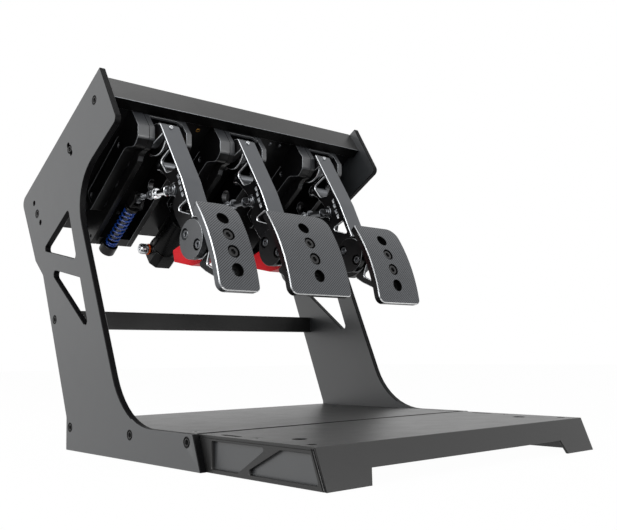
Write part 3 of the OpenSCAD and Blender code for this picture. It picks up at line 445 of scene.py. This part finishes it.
def new_piece(name, mesh_maker, body, slot, *finishes):
    """Makes an object of a bmesh, smooth but for its corners, and sets it on its body."""
    data = bpy.data.meshes.new(name)
    mesh_maker.to_mesh(data)
    mesh_maker.free()
    for key in finishes:
        data.materials.append(materials()[key])
    piece = bpy.data.objects.new(name, data)
    bpy.context.scene.collection.objects.link(piece)
    data.set_sharp_from_angle(angle=SMOOTH_CURVE)
    # A broad flat face keeps its own normal; only the strips of a curve run into each other
    for face in data.polygons:
        face.use_smooth = face.area < WIDEST_STRIP
    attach(piece, body)
    return piece


def chamfer(part, edges, width, material=-1):
    """Cuts edges to a flat chamfer, which may have another finish than the part's own."""
    bmesh.ops.bevel(
        part, geom=edges, offset=width, offset_type="OFFSET", affect="EDGES", segments=1,
        profile=0.5, material=material)


def edged(node, width, edge_finish=None, keep=None, finish=None):
    """A copy of a CAD node that stands for it, its corners cut to a narrow chamfer."""
    shape = bmesh.new()
    shape.from_mesh(frame["nodes"][node].data)
    low = [min(v.co[i] for v in shape.verts) for i in range(3)]
    high = [max(v.co[i] for v in shape.verts) for i in range(3)]
    bmesh.ops.remove_doubles(shape, verts=shape.verts, dist=1e-6)
    bmesh.ops.dissolve_limit(shape, angle_limit=FLAT_JOIN, verts=shape.verts, edges=shape.edges)
    corners = [
        e for e in shape.edges
        if e.is_manifold and e.is_convex and e.calc_face_angle() > SHARP_CORNER
        and (keep is None or keep((e.verts[0].co + e.verts[1].co) / 2))
    ]
    chamfer(shape, corners, width, 1 if edge_finish else -1)
    # A chamfer never stands out of the node's own box
    for vert in shape.verts:
        vert.co = [min(max(vert.co[i], low[i]), high[i]) for i in range(3)]
    main = finish or SLOT_FINISH[RECORD_SLOTS[node]]
    finishes = (main, edge_finish) if edge_finish else (main,)
    piece = new_piece(node + "_edged", shape, BODY_OF[node], RECORD_SLOTS[node], *finishes)
    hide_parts(node)
    return piece


def paint(piece, key, choose):
    """Gives the faces that the rule picks another finish."""
    piece.data.materials.append(materials()[key])
    for face in piece.data.polygons:
        if choose(face):
            face.material_index = len(piece.data.materials) - 1


def on_unit(pedal, along=0.0, above=0.0, across=0.0):
    """A place in a unit's own frame, given in mm down the plate, above its middle and across."""
    shift = Vector((along, above, across + UNITS[pedal])) * MM
    return ON_PLATE @ Matrix.Translation(shift)


def on_shaft(pedal, along):
    """A place on a sliding shaft's line, whose Z runs down the plate, for turned parts."""
    return on_unit(pedal, along, -SHAFT_DEPTH, SHAFT_SHIFT + ARM_SHIFT[pedal]) @ (
        Matrix.Rotation(math.radians(90), 4, "Y"))


def under_plate(across, along):
    """A place on the mounting plate's underside, whose Z points down out of it."""
    shift = Vector((along, -PLATE_HALF, across)) * MM
    return ON_PLATE @ Matrix.Translation(shift) @ Matrix.Rotation(math.radians(90), 4, "X")


def settle(shape, part, place):
    """Closes a part, turns its faces outwards and adds it to a shape at its place."""
    bmesh.ops.remove_doubles(part, verts=part.verts, dist=1e-7)
    bmesh.ops.recalc_face_normals(part, faces=part.faces)
    bmesh.ops.transform(part, matrix=place, verts=part.verts)
    holder = bpy.data.meshes.new("part")
    part.to_mesh(holder)
    part.free()
    shape.from_mesh(holder)
    bpy.data.meshes.remove(holder)


def lathe(shape, outline, place, steps=48):
    """Turns an outline of radius and height, in mm, about its own Z."""
    part = bmesh.new()
    verts = [part.verts.new((r * MM, 0, z * MM)) for r, z in outline]
    edges = [part.edges.new(pair) for pair in zip(verts, verts[1:])]
    bmesh.ops.spin(
        part, geom=verts + edges, cent=(0, 0, 0), axis=(0, 0, 1), angle=math.tau,
        steps=steps, use_merge=True, use_duplicate=False)
    settle(shape, part, place)


def raise_faces(part, faces, height):
    """Extrudes faces upwards, by a height in mm."""
    made = bmesh.ops.extrude_face_region(part, geom=faces)["geom"]
    top = [v for v in made if isinstance(v, bmesh.types.BMVert)]
    bmesh.ops.translate(part, vec=(0, 0, height * MM), verts=top)


def prism(shape, outline, low, high, place, edge=0.0):
    """Raises an outline, in mm, from low to high along its own Z, with its rims broken."""
    part = bmesh.new()
    face = part.faces.new([part.verts.new((x * MM, y * MM, low * MM)) for x, y in outline])
    raise_faces(part, [face], high - low)
    if edge:
        rims = [e for e in part.edges if len({round(v.co.z, 7) for v in e.verts}) == 1]
        chamfer(part, rims, edge * MM)
    settle(shape, part, place)


def corner_cut(before, corner, after, radius):
    """How far from a corner its rounding starts, along both of its sides."""
    one = (Vector(before) - Vector(corner)).normalized()
    other = (Vector(after) - Vector(corner)).normalized()
    return radius / math.tan(one.angle(other) / 2)


def draw_outline(part, corners):
    """Draws a closed outline of x, y and corner radius, in mm, and rounds its corners."""
    points = [(x * MM, y * MM) for x, y, _ in corners]
    verts = [part.verts.new((x, y, 0)) for x, y in points]
    part.faces.new(verts)
    cuts = [
        corner_cut(points[i - 1], points[i], points[(i + 1) % len(points)], corner[2] * MM)
        for i, corner in enumerate(corners)
    ]
    for vert, cut in zip(verts, cuts):
        bmesh.ops.bevel(
            part, geom=[vert], offset=cut, offset_type="OFFSET", affect="VERTICES",
            segments=CORNER_STEPS, profile=0.5, material=-1)
    bmesh.ops.delete(part, geom=list(part.faces), context="FACES_ONLY")


def plate(corners, bores, low, high, edge):
    """A flat part with plain bores, from low to high, its upper outline cut to a chamfer."""
    part = bmesh.new()
    draw_outline(part, corners)
    for x, y, radius in bores:
        bmesh.ops.create_circle(
            part, radius=radius * MM, segments=40,
            matrix=Matrix.Translation((x * MM, y * MM, 0)))
    bmesh.ops.triangle_fill(part, edges=list(part.edges), use_beauty=True, use_dissolve=False)
    bmesh.ops.translate(part, vec=(0, 0, low * MM), verts=part.verts)
    raise_faces(part, list(part.faces), high - low)
    bmesh.ops.recalc_face_normals(part, faces=part.faces)
    rims = [
        e for e in part.edges
        if e.is_manifold and e.calc_face_angle() > SQUARE_RIM
        and all(v.co.z > (low + high) / 2 * MM for v in e.verts)
        and all((e.verts[0].co.xy - Vector((x, y)) * MM).length > (radius + 0.1) * MM
                for x, y, radius in bores)
    ]
    chamfer(part, rims, edge, 1)
    return part


def toothed(count, corners):
    """A round outline of like teeth, each corner given as a turn, in teeth, and a radius."""
    spots = [(math.tau * (i + turn) / count, radius) for i in range(count)
             for turn, radius in corners]
    return [(radius * math.cos(angle), radius * math.sin(angle)) for angle, radius in spots]


def thread(low, high, outer, pitch):
    """The outline of a thread's crests and roots, as rings."""
    root = outer * THREAD_ROOT
    points = []
    for i in range(int((high - low) / pitch)):
        points += [(outer, low + (i + 0.25) * pitch), (root, low + (i + 0.75) * pitch)]
    return [(root, low)] + points + [(root, high)]


def wire_coil(pedal, slot, finish, wire):
    """A compression spring wound in one piece, with a closed turn at each end."""
    shape = bmesh.new()
    part = bmesh.new()
    reach = (COIL_OUTER - wire) / 2 * MM
    bmesh.ops.create_circle(
        part, radius=wire / 2 * MM, segments=COIL_SIDES, cap_ends=True,
        matrix=Matrix.Translation((reach, 0, wire / 2 * MM))
        @ Matrix.Rotation(math.radians(90), 4, "X"))
    closed = wire * 1.02
    span = SPRING_END - SPRING_START - COIL_PLAY - wire
    open_pitch = (span - 2 * closed) / (COIL_TURNS - 2)
    loop = list(part.faces)
    for count, pitch in ((1, closed), (COIL_TURNS - 2, open_pitch), (1, closed)):
        made = bmesh.ops.spin(
            part, geom=loop, cent=(0, 0, 0), axis=(0, 0, 1),
            dvec=(0, 0, pitch * MM / COIL_STEPS), angle=math.tau * count,
            steps=COIL_STEPS * count, use_merge=False, use_duplicate=False)
        loop = [g for g in made["geom_last"] if isinstance(g, bmesh.types.BMFace)]
    settle(shape, part, on_shaft(pedal, SPRING_START + COIL_PLAY / 2))
    return new_piece(f"{pedal}_coil", shape, "frame", slot, finish)


class PEDALSET_OT_frame(bpy.types.Operator):
    """Finish the side plates, plates, deck and tray"""
    bl_idname = "pedalset.frame"
    bl_label = "Frame"

    def execute(self, context):
        sizes = context.scene.pedal_sizes
        for node in ("side_plate_left", "side_plate_right"):
            side = edged(node, sizes.plate_edge)
            # The walls the laser cut, and the chamfers that face front and left, get painted shade
            paint(side, "cut wall", lambda face: abs(face.normal.x) < HARDLY or (
                face.normal.x < -HARDLY and face.normal.y < -HARDLY))
            # The rims of the bolt holes get painted shade too
            paint(side, "bore black", lambda face: (
                HARDLY < abs(face.normal.x) < FULLY and face.area < BOLT_HOLE_STRIP))
        edged("crossbar", sizes.small_edge, finish="bar coat")
        # The floors of the cheeks' pockets have the side plates' lighter coat
        for node in ("tray_cheek_left", "tray_cheek_right"):
            paint(edged(node, sizes.small_edge), "plate coat", lambda face: (
                abs(face.normal.x) > MOSTLY and abs(face.center.x) < (CHEEK_FACE - 1) * MM))
        edged("mount_plate", sizes.small_edge, finish="anodised")
        # The fascia's lower lip gets a painted highlight along its edges, and its underside
        # painted shade
        on_plate = ON_PLATE.inverted()
        fascia = edged("fascia", sizes.block_edge, "rubbed edge",
                       keep=lambda point: (on_plate @ point).y < -LIP_DEPTH * MM)
        paint(fascia, "bore black", lambda face: (
            face.normal.dot(ON_PLATE.to_3x3().col[1]) < -MOSTLY))
        # The walls of the holes in the folded sheets get painted shade
        for node in ("floor_deck", "heel_tray"):
            paint(edged(node, sizes.small_edge), "bore black", lambda face: (
                abs(face.normal.z) < HARDLY and face.area < WIDEST_HOLE_STRIP))
        self.seams()
        for node in ("joiner_bars", "yoke_bolts", "pivot_pins"):
            finish_node(node)
        edged("rear_blocks", sizes.small_edge)
        # A bolt's head gets a ring of painted shade round its face, for the countersink's shadow
        edged("frame_bolts", BOLT_RING * MM, "bore black",
              keep=lambda point: abs(point.x) > BOLT_FACE * MM)
        self.inserts()
        return {"FINISHED"}

    @staticmethod
    def seams():
        """The dark joints at the tray's front corners and between the deck and the tray."""
        (high_y, high_z), (low_y, low_z) = TRAY_CORNER
        high_z -= JOINT_DROP
        lines = bmesh.new()
        for side in (-CHEEK_FACE, CHEEK_FACE):
            for back in JOINT_STARTS:
                front = back + JOINT_WIDTH
                prism(lines, [(high_y + back, high_z), (high_y + front, high_z),
                              (low_y + front, low_z), (low_y + back, low_z)],
                      side - LINE_HALF, side + LINE_HALF, ACROSS)
        new_piece("tray_corner_joints", lines, "frame", "black_coat", "bore black")
        lines = bmesh.new()
        front, rear = DECK_SEAM
        prism(lines, [(-CHEEK_FACE, front), (CHEEK_FACE, front), (CHEEK_FACE, rear),
                      (-CHEEK_FACE, rear)], DECK_TOP - LINE_HALF, DECK_TOP + SEAM_RISE, Matrix())
        new_piece("deck_seam", lines, "frame", "black_coat", "bore black")

    @staticmethod
    def inserts():
        """The small screws and the brass insert in the mounting plate's underside."""
        screws = bmesh.new()
        for across, along, radius in UNDER_SCREWS:
            lathe(screws, [(0, 0.2), (radius * 0.5, 0.2), (radius * 0.5, 0.9),
                           (radius - 0.3, 0.9), (radius, 0.6), (radius, -0.5), (0, -0.5)],
                  under_plate(across, along), 24)
        new_piece("plate_small_screws", screws, "frame", "bright_screw", "satin steel")
        across, along, radius = UNDER_INSERT
        ring = bmesh.new()
        lathe(ring, [(radius * 0.6, -0.5), (radius * 0.6, 0.5), (radius - 0.2, 0.5),
                     (radius, 0.3), (radius, -0.5), (radius * 0.6, -0.5)],
              under_plate(across, along), 32)
        new_piece("plate_insert", ring, "frame", "bronze", "bronze")


class PEDALSET_OT_pedals(bpy.types.Operator):
    """Finish the yokes, arms, brackets and faces of the three pedals"""
    bl_idname = "pedalset.pedals"
    bl_label = "Pedals"

    def execute(self, context):
        sizes = context.scene.pedal_sizes
        for pedal in UNITS:
            self.yoke(pedal, sizes)
            edged(f"{pedal}_clamp_block", sizes.small_edge)
            bracket = edged(f"{pedal}_bracket", sizes.arm_edge, "bright edge")
            # The bracket's left-facing sides get the black anodising: painted shade
            paint(bracket, "anodised", lambda face: face.normal.x < -MOSTLY)
            self.arm(pedal, sizes)
            self.disc(pedal, sizes)
            self.face(pedal, sizes)
            finish_node(f"{pedal}_bushes")
            self.pins(pedal)
            self.screws(pedal)
        return {"FINISHED"}

    @staticmethod
    def yoke(pedal, sizes):
        """The yoke and its side block, with painted light on their fronts and painted highlights
        on their edges, and the web between its walls.
        """
        slope = ON_PLATE.to_3x3().col[0]
        joint = (UNITS[pedal] + BLOCK_JOINT) * MM
        for part in ("yoke", "side_block"):
            # Their chamfers get the painted highlight, and their fronts the painted light
            block = edged(f"{pedal}_{part}", sizes.block_edge, "rubbed edge")
            paint(block, "nose metal", lambda face: (
                abs(face.normal.x) < HARDLY and face.normal.dot(slope) < -HARDLY))
            # The joint between the yoke's wall and the side block stays dark
            paint(block, "bore black", lambda face: (
                face.material_index == 1
                and abs(face.center.x - joint) < BLOCK_JOINT_REACH * MM))
        # The lintel carries the same painted light
        lintel = bmesh.new()
        prism(lintel, LINTEL, *LINTEL_SPAN, on_unit(pedal) @ LINTEL_TURN, 0.3)
        new_piece(f"{pedal}_lintel", lintel, "frame", "black_anodised", "nose metal")

    @staticmethod
    def screws(pedal):
        """The screw in the strap's top is bright, the clamp's bolts satin, the rest black."""
        screws = edged(f"{pedal}_screws", SCREW_EDGE * MM)
        unit = on_unit(pedal).inverted()
        top = -TOP_SCREW_DEPTH * MM
        paint(screws, "ground steel", lambda face: (unit @ face.center).y > top)
        paint(screws, "satin steel", lambda face: (
            (unit @ face.center).y < top
            and (unit @ face.center).x > CLAMP_BOLTS_ALONG * MM))

    @staticmethod
    def pins(pedal):
        """The arm's pins and the shaft are satin steel, the shaft's fork and collar black."""
        edged(f"{pedal}_arm_pins", SCREW_EDGE * MM, finish="satin steel")
        plunger = edged(f"{pedal}_plunger", SCREW_EDGE * MM, finish="black oxide")
        unit = on_unit(pedal).inverted()
        paint(plunger, "satin steel", lambda face: (
            (unit @ face.center).x / MM > SPRING_START))

    @staticmethod
    def disc(pedal, sizes):
        """The disc's rim gets a painted highlight, and its two pockets painted shade; the clutch's
        disc has the painted light finish.
        """
        middle = on_unit(pedal, CLAMP_AT[0], -CLAMP_AT[1]).inverted()
        disc = edged(f"{pedal}_disc", sizes.block_edge, "rubbed edge",
                     keep=lambda point: (middle @ point).xy.length > DISC_RIM * MM,
                     finish="nose metal" if pedal == "clutch" else None)
        unit = on_unit(pedal).inverted()
        spots = [(unit @ vert.co).xy / MM for vert in disc.data.vertices]
        paint(disc, "bore black", lambda face: any(
            all(math.dist(spots[i], (along, -depth)) < POCKET_REACH for i in face.vertices)
            for along, depth in CLAMP_BOLTS))

    @staticmethod
    def arm(pedal, sizes):
        """The arm's outline and its small windows' walls are bright, but not its bores."""
        unit = on_unit(pedal, across=ARM_SHIFT[pedal]).inverted()

        def in_windows(along, up):
            return (WINDOWS_ALONG[0] < along < WINDOWS_ALONG[1]
                    and WINDOWS_DOWN[0] < -up < WINDOWS_DOWN[1])

        def on_outline(point):
            along, up, _ = unit @ point / MM
            return not in_windows(along, up) and all(
                math.dist((along, -up), at) >= reach for at, reach in ARM_PLAIN)

        piece = edged(f"{pedal}_arm", sizes.arm_edge, "bright edge", keep=on_outline)
        # The arm's left-facing sides get the black anodising: painted shade
        paint(piece, "anodised", lambda face: face.normal.x < -FULLY)
        for face in piece.data.polygons:
            along, up, across = unit @ face.center / MM
            if (in_windows(along, up) and WINDOWS_DEEP[0] < across < WINDOWS_DEEP[1]
                    and abs(face.normal.x) < HALF):
                face.material_index = 1

    @classmethod
    def face(cls, pedal, sizes):
        """A curved face: flat blank, cut across in strips, then bent to its radius."""
        wide = FACE_WIDTH[pedal] / 2
        tall = FACE_HEIGHT / 2
        holes = [(0, i * FACE_PITCH, FACE_BORE) for i in (-1.5, -0.5, 0.5, 1.5)]
        # Its Y runs down, and each of its corners has a radius of its own
        blank = plate(
            [(wide, -tall, 16), (wide, tall, 6), (-wide, tall, 10), (-wide, -tall, 5)],
            holes, -FACE_THICK, 0, sizes.face_edge)
        for i in range(1, FACE_STRIPS):
            across = (2 * i / FACE_STRIPS - 1) * tall * MM
            bmesh.ops.bisect_plane(
                blank, geom=list(blank.verts) + list(blank.edges) + list(blank.faces),
                dist=1e-7, plane_co=(0, across, 0), plane_no=(0, 1, 0))
        # The counterbores get painted shade inside, and the two outer ones stay empty and threaded
        cups = bmesh.new()
        for x, y, radius in holes:
            outer = abs(y) > FACE_PITCH
            bore = thread(CUP_BACK, CUP_FLOOR, THREAD_BORE, 0.75) if outer else [
                (SCREW_BORE, CUP_BACK), (SCREW_BORE, CUP_FLOOR)]
            lathe(cups, [(radius + 0.05, CUP_BACK)] + bore + [
                (radius - 0.5, CUP_FLOOR), (radius - 0.5, -0.5), (radius + 0.05, -0.5),
                (radius + 0.05, CUP_BACK)],
                Matrix.Translation((x * MM, y * MM, 0)), 40)
        for part in (blank, cups):
            cls.bend(part, pedal)
        piece = new_piece(
            f"{pedal}_ribbed_face", blank, f"{pedal}_pedal", "face_metal", "face metal",
            "face edge")
        # Its side walls are smooth, painted light on the clutch and painted shade (black) on the
        # others, and its lower chamfers get a painted highlight
        out = ON_PLATE.to_3x3() @ Vector((FACE_OUT.x, -FACE_OUT.y, 0))
        paint(piece, "arm metal" if pedal == "clutch" else "anodised", lambda face: (
            face.material_index == 0 and abs(face.normal.dot(out)) < SIDE_WALL))
        paint(piece, "lower edge", lambda face: (
            face.material_index == 1 and face.normal.z < -HARDLY))
        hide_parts(f"{pedal}_face")
        new_piece(f"{pedal}_counterbores", cups, f"{pedal}_pedal", "black_screw", "bore black")

    @staticmethod
    def bend(part, pedal):
        """Bends a flat part, whose Y runs down, to the face's arc and sets it in its place."""
        centre = FACE_MIDDLE - (FACE_RADIUS - FACE_SAG) * FACE_OUT
        for vert in part.verts:
            x, down, out = vert.co
            turn = math.asin((down / MM + FACE_DROP[pedal]) / FACE_RADIUS)
            at = centre + (FACE_RADIUS + out / MM) * (
                FACE_OUT * math.cos(turn) + FACE_DOWN * math.sin(turn))
            vert.co = (at.x * MM, -at.y * MM, x)
        bmesh.ops.recalc_face_normals(part, faces=part.faces)
        bmesh.ops.transform(
            part, matrix=on_unit(pedal, across=FACE_SHIFT[pedal]), verts=part.verts)


class PEDALSET_OT_links(bpy.types.Operator):
    """Make the chrome rod ends, nuts and threads between the arms and the shafts"""
    bl_idname = "pedalset.links"
    bl_label = "Link rods"

    def execute(self, context):
        for pedal in UNITS:
            base = on_unit(pedal, LUG[0], -LUG[1], ARM_SHIFT[pedal] + EYE_MIDDLE) @ (
                Matrix.Rotation(LINK_TURN, 4, "Z"))
            along = base @ Matrix.Rotation(math.radians(90), 4, "Y")
            self.rod_ends(pedal, base, along)
            self.barrel(pedal, along)
        return {"FINISHED"}

    @staticmethod
    def rod_ends(pedal, base, along):
        """The two eyes with their balls and shanks, and the thread and the nut between them."""
        dark = bmesh.new()
        for at in (0, LINK_LENGTH):
            eye = base @ Matrix.Translation((at * MM, 0, 0))
            # The housing, with the ball standing a little out of it on each side
            lathe(dark, [
                (5.1, -3.0), (6.9, -3.0), (7.5, -2.4), (7.5, 2.4), (6.9, 3.0), (5.1, 3.0),
                (5.1, -3.0)], eye)
            ball = [
                (BALL_RADIUS * math.cos(t), BALL_RADIUS * math.sin(t))
                for t in map(math.radians, range(-48, 49, 8))
            ]
            lathe(dark, [(2.6, -3.95)] + ball + [(2.6, 3.95), (2.6, -3.95)], eye)
        for low, flip in ((0, 1), (LINK_LENGTH, -1)):
            outline = [(0, 5.6), (4.0, 5.6), (3.8, 13), (0, 13)]
            lathe(dark, [(r, low + flip * z) for r, z in outline], along)
        start, end = LINK_THREAD
        lathe(dark, [(0, start)] + thread(start, end, 3.0, 1.0) + [(0, end)], along, 24)
        prism(dark, toothed(6, [(0.25, 6.2)]), *LINK_NUT, along, 0.35)
        new_piece(f"{pedal}_rod_ends", dark, f"{pedal}_rod", "rod_chrome", "satin steel")

    @staticmethod
    def barrel(pedal, along):
        """A smooth barrel between a nut at the lug and a flange at the far end."""
        bright = bmesh.new()
        lathe(bright, [(0, 12), (6.2, 12), (6.6, 12.4), (6.6, 14.6), (6.2, 15), (3.9, 15.4),
                       (3.9, 38), (6.4, 38.4), (7.0, 38.9), (7.0, 41), (6.5, 41.5), (0, 41.5)],
              along)
        finish = "chrome" if pedal == "clutch" else "satin steel"
        barrel = new_piece(f"{pedal}_rod_barrel", bright, f"{pedal}_rod", "rod_chrome", finish)
        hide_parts(f"{pedal}_link")


class PEDALSET_OT_springs(bpy.types.Operator):
    """Make the clutch and throttle springs and the brake's elastomers"""
    bl_idname = "pedalset.springs"
    bl_label = "Springs"

    def execute(self, context):
        for pedal, slot, finish, wire in (
                ("clutch", "blue_spring", "blue", 2.6),
                ("throttle", "black_spring", "black enamel", 2.4)):
            coil = wire_coil(pedal, slot, finish, wire)
            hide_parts(f"{pedal}_spring")
            self.close_up(coil, pedal)
        stack = bmesh.new()
        step = (SPRING_END - SPRING_START) / ELASTOMERS
        for i in range(ELASTOMERS):
            # Each elastomer bulges a little between its flat ends
            lathe(stack, [
                (4.4, 0), (7.6, 0), (8.2, 0.5), (8.5, 2.5), (8.5, step - 2.8),
                (8.2, step - 0.9), (7.6, step - 0.4), (4.4, step - 0.4), (4.4, 0),
            ], on_shaft("brake", SPRING_START + i * step))
        pads = new_piece("brake_elastomer_stack", stack, "frame", "elastomer", "elastomer")
        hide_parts("brake_elastomers")
        self.close_up(pads, "brake")
        return {"FINISHED"}

    @staticmethod
    def close_up(piece, pedal):
        """Gives a spring a mesh of its own, which no other object shares."""
        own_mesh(piece)


class PEDALSET_OT_cylinder(bpy.types.Operator):
    """Finish the brake's cylinder, end block and adjuster"""
    bl_idname = "pedalset.cylinder"
    bl_label = "Brake cylinder"

    def execute(self, context):
        sizes = context.scene.pedal_sizes
        edged("cylinder_saddle", sizes.small_edge)
        # They get the painted-shade copy of the black anodising
        for node in ("brake_cylinder", "brake_end_block"):
            edged(node, sizes.small_edge, finish="cylinder metal")
        # The adjuster's axis runs out to the driver's left, from the end block's side
        out = on_unit("brake", *ADJUSTER_AT) @ Matrix.Rotation(math.pi, 4, "Y")
        shape = bmesh.new()
        prism(shape, toothed(8, KNOB_TEETH), 4.2, 12.6, out, 0.35)
        lathe(shape, [(0, 2.2), (6.9, 2.2), (7.3, 2.6), (7.3, 4.0), (6.2, 4.4), (6.2, 12.4),
                      (5.2, 14), (2.6, 14), (2.6, 11.5), (0, 11.5)], out)
        lathe(shape, [(0, -7.8), (3, -7.8), (3, 2.4), (0, 2.4)], out)
        knob = new_piece("preload_knob", shape, "adjuster_knob", "knob_metal", "knob metal")
        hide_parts("brake_adjuster")
        shape = bmesh.new()
        prism(shape, toothed(10, RING_TEETH), 0.05, 1.95, out, 0.25)
        ring = new_piece("click_ring", shape, "frame", "orange_ring", "ring")
        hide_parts("adjuster_ring")
        return {"FINISHED"}


def look_matrix(place, azimuth, elevation, roll):
    """A camera's place and turn. Azimuth 0 looks along +Y."""
    back = Vector((
        math.sin(azimuth) * math.cos(elevation),
        -math.cos(azimuth) * math.cos(elevation),
        math.sin(elevation),
    ))
    right = (-back).cross(Vector((0, 0, 1))).normalized()
    up = right.cross(-back)
    right, up = (
        math.cos(roll) * right + math.sin(roll) * up,
        math.cos(roll) * up - math.sin(roll) * right,
    )
    turn = Matrix((right, up, back)).transposed().to_4x4()
    return Matrix.Translation(place) @ turn


def lamp(name, place, size, power):
    """A soft box that faces the set."""
    data = bpy.data.lights.new(name, "AREA")
    data.shape = "RECTANGLE"
    data.size, data.size_y = size
    data.energy = power
    box = bpy.data.objects.new(name, data)
    bpy.context.scene.collection.objects.link(box)
    box.location = place
    box.rotation_euler = (SET_MIDDLE - Vector(place)).to_track_quat("-Z", "Y").to_euler()


class PEDALSET_OT_stage(bpy.types.Operator):
    """Set the pale floor, the white background, the lamps and the camera"""
    bl_idname = "pedalset.stage"
    bl_label = "Stage"

    def execute(self, context):
        scene = context.scene
        scene.view_settings.view_transform = "Standard"
        floor_shape = bmesh.new()
        bmesh.ops.create_grid(floor_shape, x_segments=1, y_segments=1, size=FLOOR_REACH)
        data = bpy.data.meshes.new("studio_floor")
        floor_shape.to_mesh(data)
        floor_shape.free()
        data.materials.append(self.paper())
        floor = bpy.data.objects.new("studio_floor", data)
        floor.location.z = -FLOOR_DROP
        scene.collection.objects.link(floor)
        scene.world = self.backdrop()
        for row in LAMPS:
            lamp(*row)
        data = bpy.data.cameras.new("camera")
        data.sensor_width = 36
        data.lens = CAMERA_LENS
        data.shift_y = CAMERA_SHIFT_Y
        camera = bpy.data.objects.new("camera", data)
        scene.collection.objects.link(camera)
        camera.matrix_world = look_matrix(CAMERA_AT, *CAMERA_TURN)
        scene.camera = camera
        return {"FINISHED"}

    @staticmethod
    def paper():
        """Seamless paper: pure white to the camera, matt, with the set's soft shadow on it."""
        paper = bpy.data.materials.new("studio_paper")
        paper.use_nodes = True
        tree = paper.node_tree
        surface = tree.nodes["Principled BSDF"]
        surface.inputs["Roughness"].default_value = 0.9
        white = add(tree, "ShaderNodeEmission")
        rays = add(tree, "ShaderNodeLightPath")
        tone = add(tree, "ShaderNodeMapRange", {
            "Value": rays.outputs["Is Camera Ray"], "To Min": PAPER_BOUNCE,
            "To Max": PAPER_TONE})
        tree.links.new(tone.outputs[0], surface.inputs["Base Color"])
        in_gloss, in_view = (
            add(tree, "ShaderNodeMath", {0: rays.outputs[kind], 1: part}, operation="MULTIPLY")
            for kind, part in (("Is Glossy Ray", FLOOR_IN_GLOSS), ("Is Camera Ray", PAPER_WHITE)))
        share = add(tree, "ShaderNodeMath", {
            0: in_gloss.outputs[0], 1: in_view.outputs[0]}, operation="MAXIMUM")
        mix = add(tree, "ShaderNodeMixShader", {
            0: share.outputs[0], 1: surface.outputs[0], 2: white.outputs[0]})
        tree.links.new(mix.outputs[0], tree.nodes["Material Output"].inputs["Surface"])
        return paper

    @staticmethod
    def backdrop():
        """A dim white room, which the camera, metal and glass see as pure white."""
        world = bpy.data.worlds.new("studio")
        world.use_nodes = True
        tree = world.node_tree
        sky = tree.nodes["Background"]
        sky.inputs["Color"].default_value = (1, 1, 1, 1)
        sky.inputs["Strength"].default_value = SKY_STRENGTH
        white = add(tree, "ShaderNodeBackground", {"Color": (1, 1, 1, 1)})
        rays = add(tree, "ShaderNodeLightPath")
        seen = rays.outputs["Is Camera Ray"]
        for kind in ("Is Glossy Ray", "Is Transmission Ray"):
            seen = add(tree, "ShaderNodeMath", {0: seen, 1: rays.outputs[kind]},
                       operation="MAXIMUM").outputs[0]
        mix = add(tree, "ShaderNodeMixShader", {0: seen, 1: sky.outputs[0], 2: white.outputs[0]})
        tree.links.new(mix.outputs[0], tree.nodes["World Output"].inputs["Surface"])
        return world


OPERATORS = (
    PEDALSET_OT_frame,
    PEDALSET_OT_pedals,
    PEDALSET_OT_links,
    PEDALSET_OT_springs,
    PEDALSET_OT_cylinder,
    PEDALSET_OT_stage,
)


class PEDALSET_PT_panel(bpy.types.Panel):
    """The steps that dress the pedal set, in order"""
    bl_label = "Pedal set"
    bl_idname = "PEDALSET_PT_panel"
    bl_space_type = "VIEW_3D"
    bl_region_type = "UI"
    bl_category = "Pedal set"

    def draw(self, context):
        for group in (context.scene.pedal_colours, context.scene.pedal_sizes):
            for key in group.bl_rna.properties.keys():
                if key not in ("rna_type", "name"):
                    self.layout.prop(group, key)
        for operator in OPERATORS:
            self.layout.operator(operator.bl_idname)


CLASSES = (PedalColours, PedalSizes) + OPERATORS + (PEDALSET_PT_panel,)


def register():
    for cls in CLASSES:
        bpy.utils.register_class(cls)
    bpy.types.Scene.pedal_colours = bpy.props.PointerProperty(type=PedalColours)
    bpy.types.Scene.pedal_sizes = bpy.props.PointerProperty(type=PedalSizes)


def unregister():
    del bpy.types.Scene.pedal_sizes
    del bpy.types.Scene.pedal_colours
    for cls in reversed(CLASSES):
        bpy.utils.unregister_class(cls)


def main():
    register()
    bpy.ops.pedalset.frame()
    bpy.ops.pedalset.pedals()
    bpy.ops.pedalset.links()
    bpy.ops.pedalset.springs()
    bpy.ops.pedalset.cylinder()
    bpy.ops.pedalset.stage()
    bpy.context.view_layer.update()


if __name__ == "__main__":
    main()
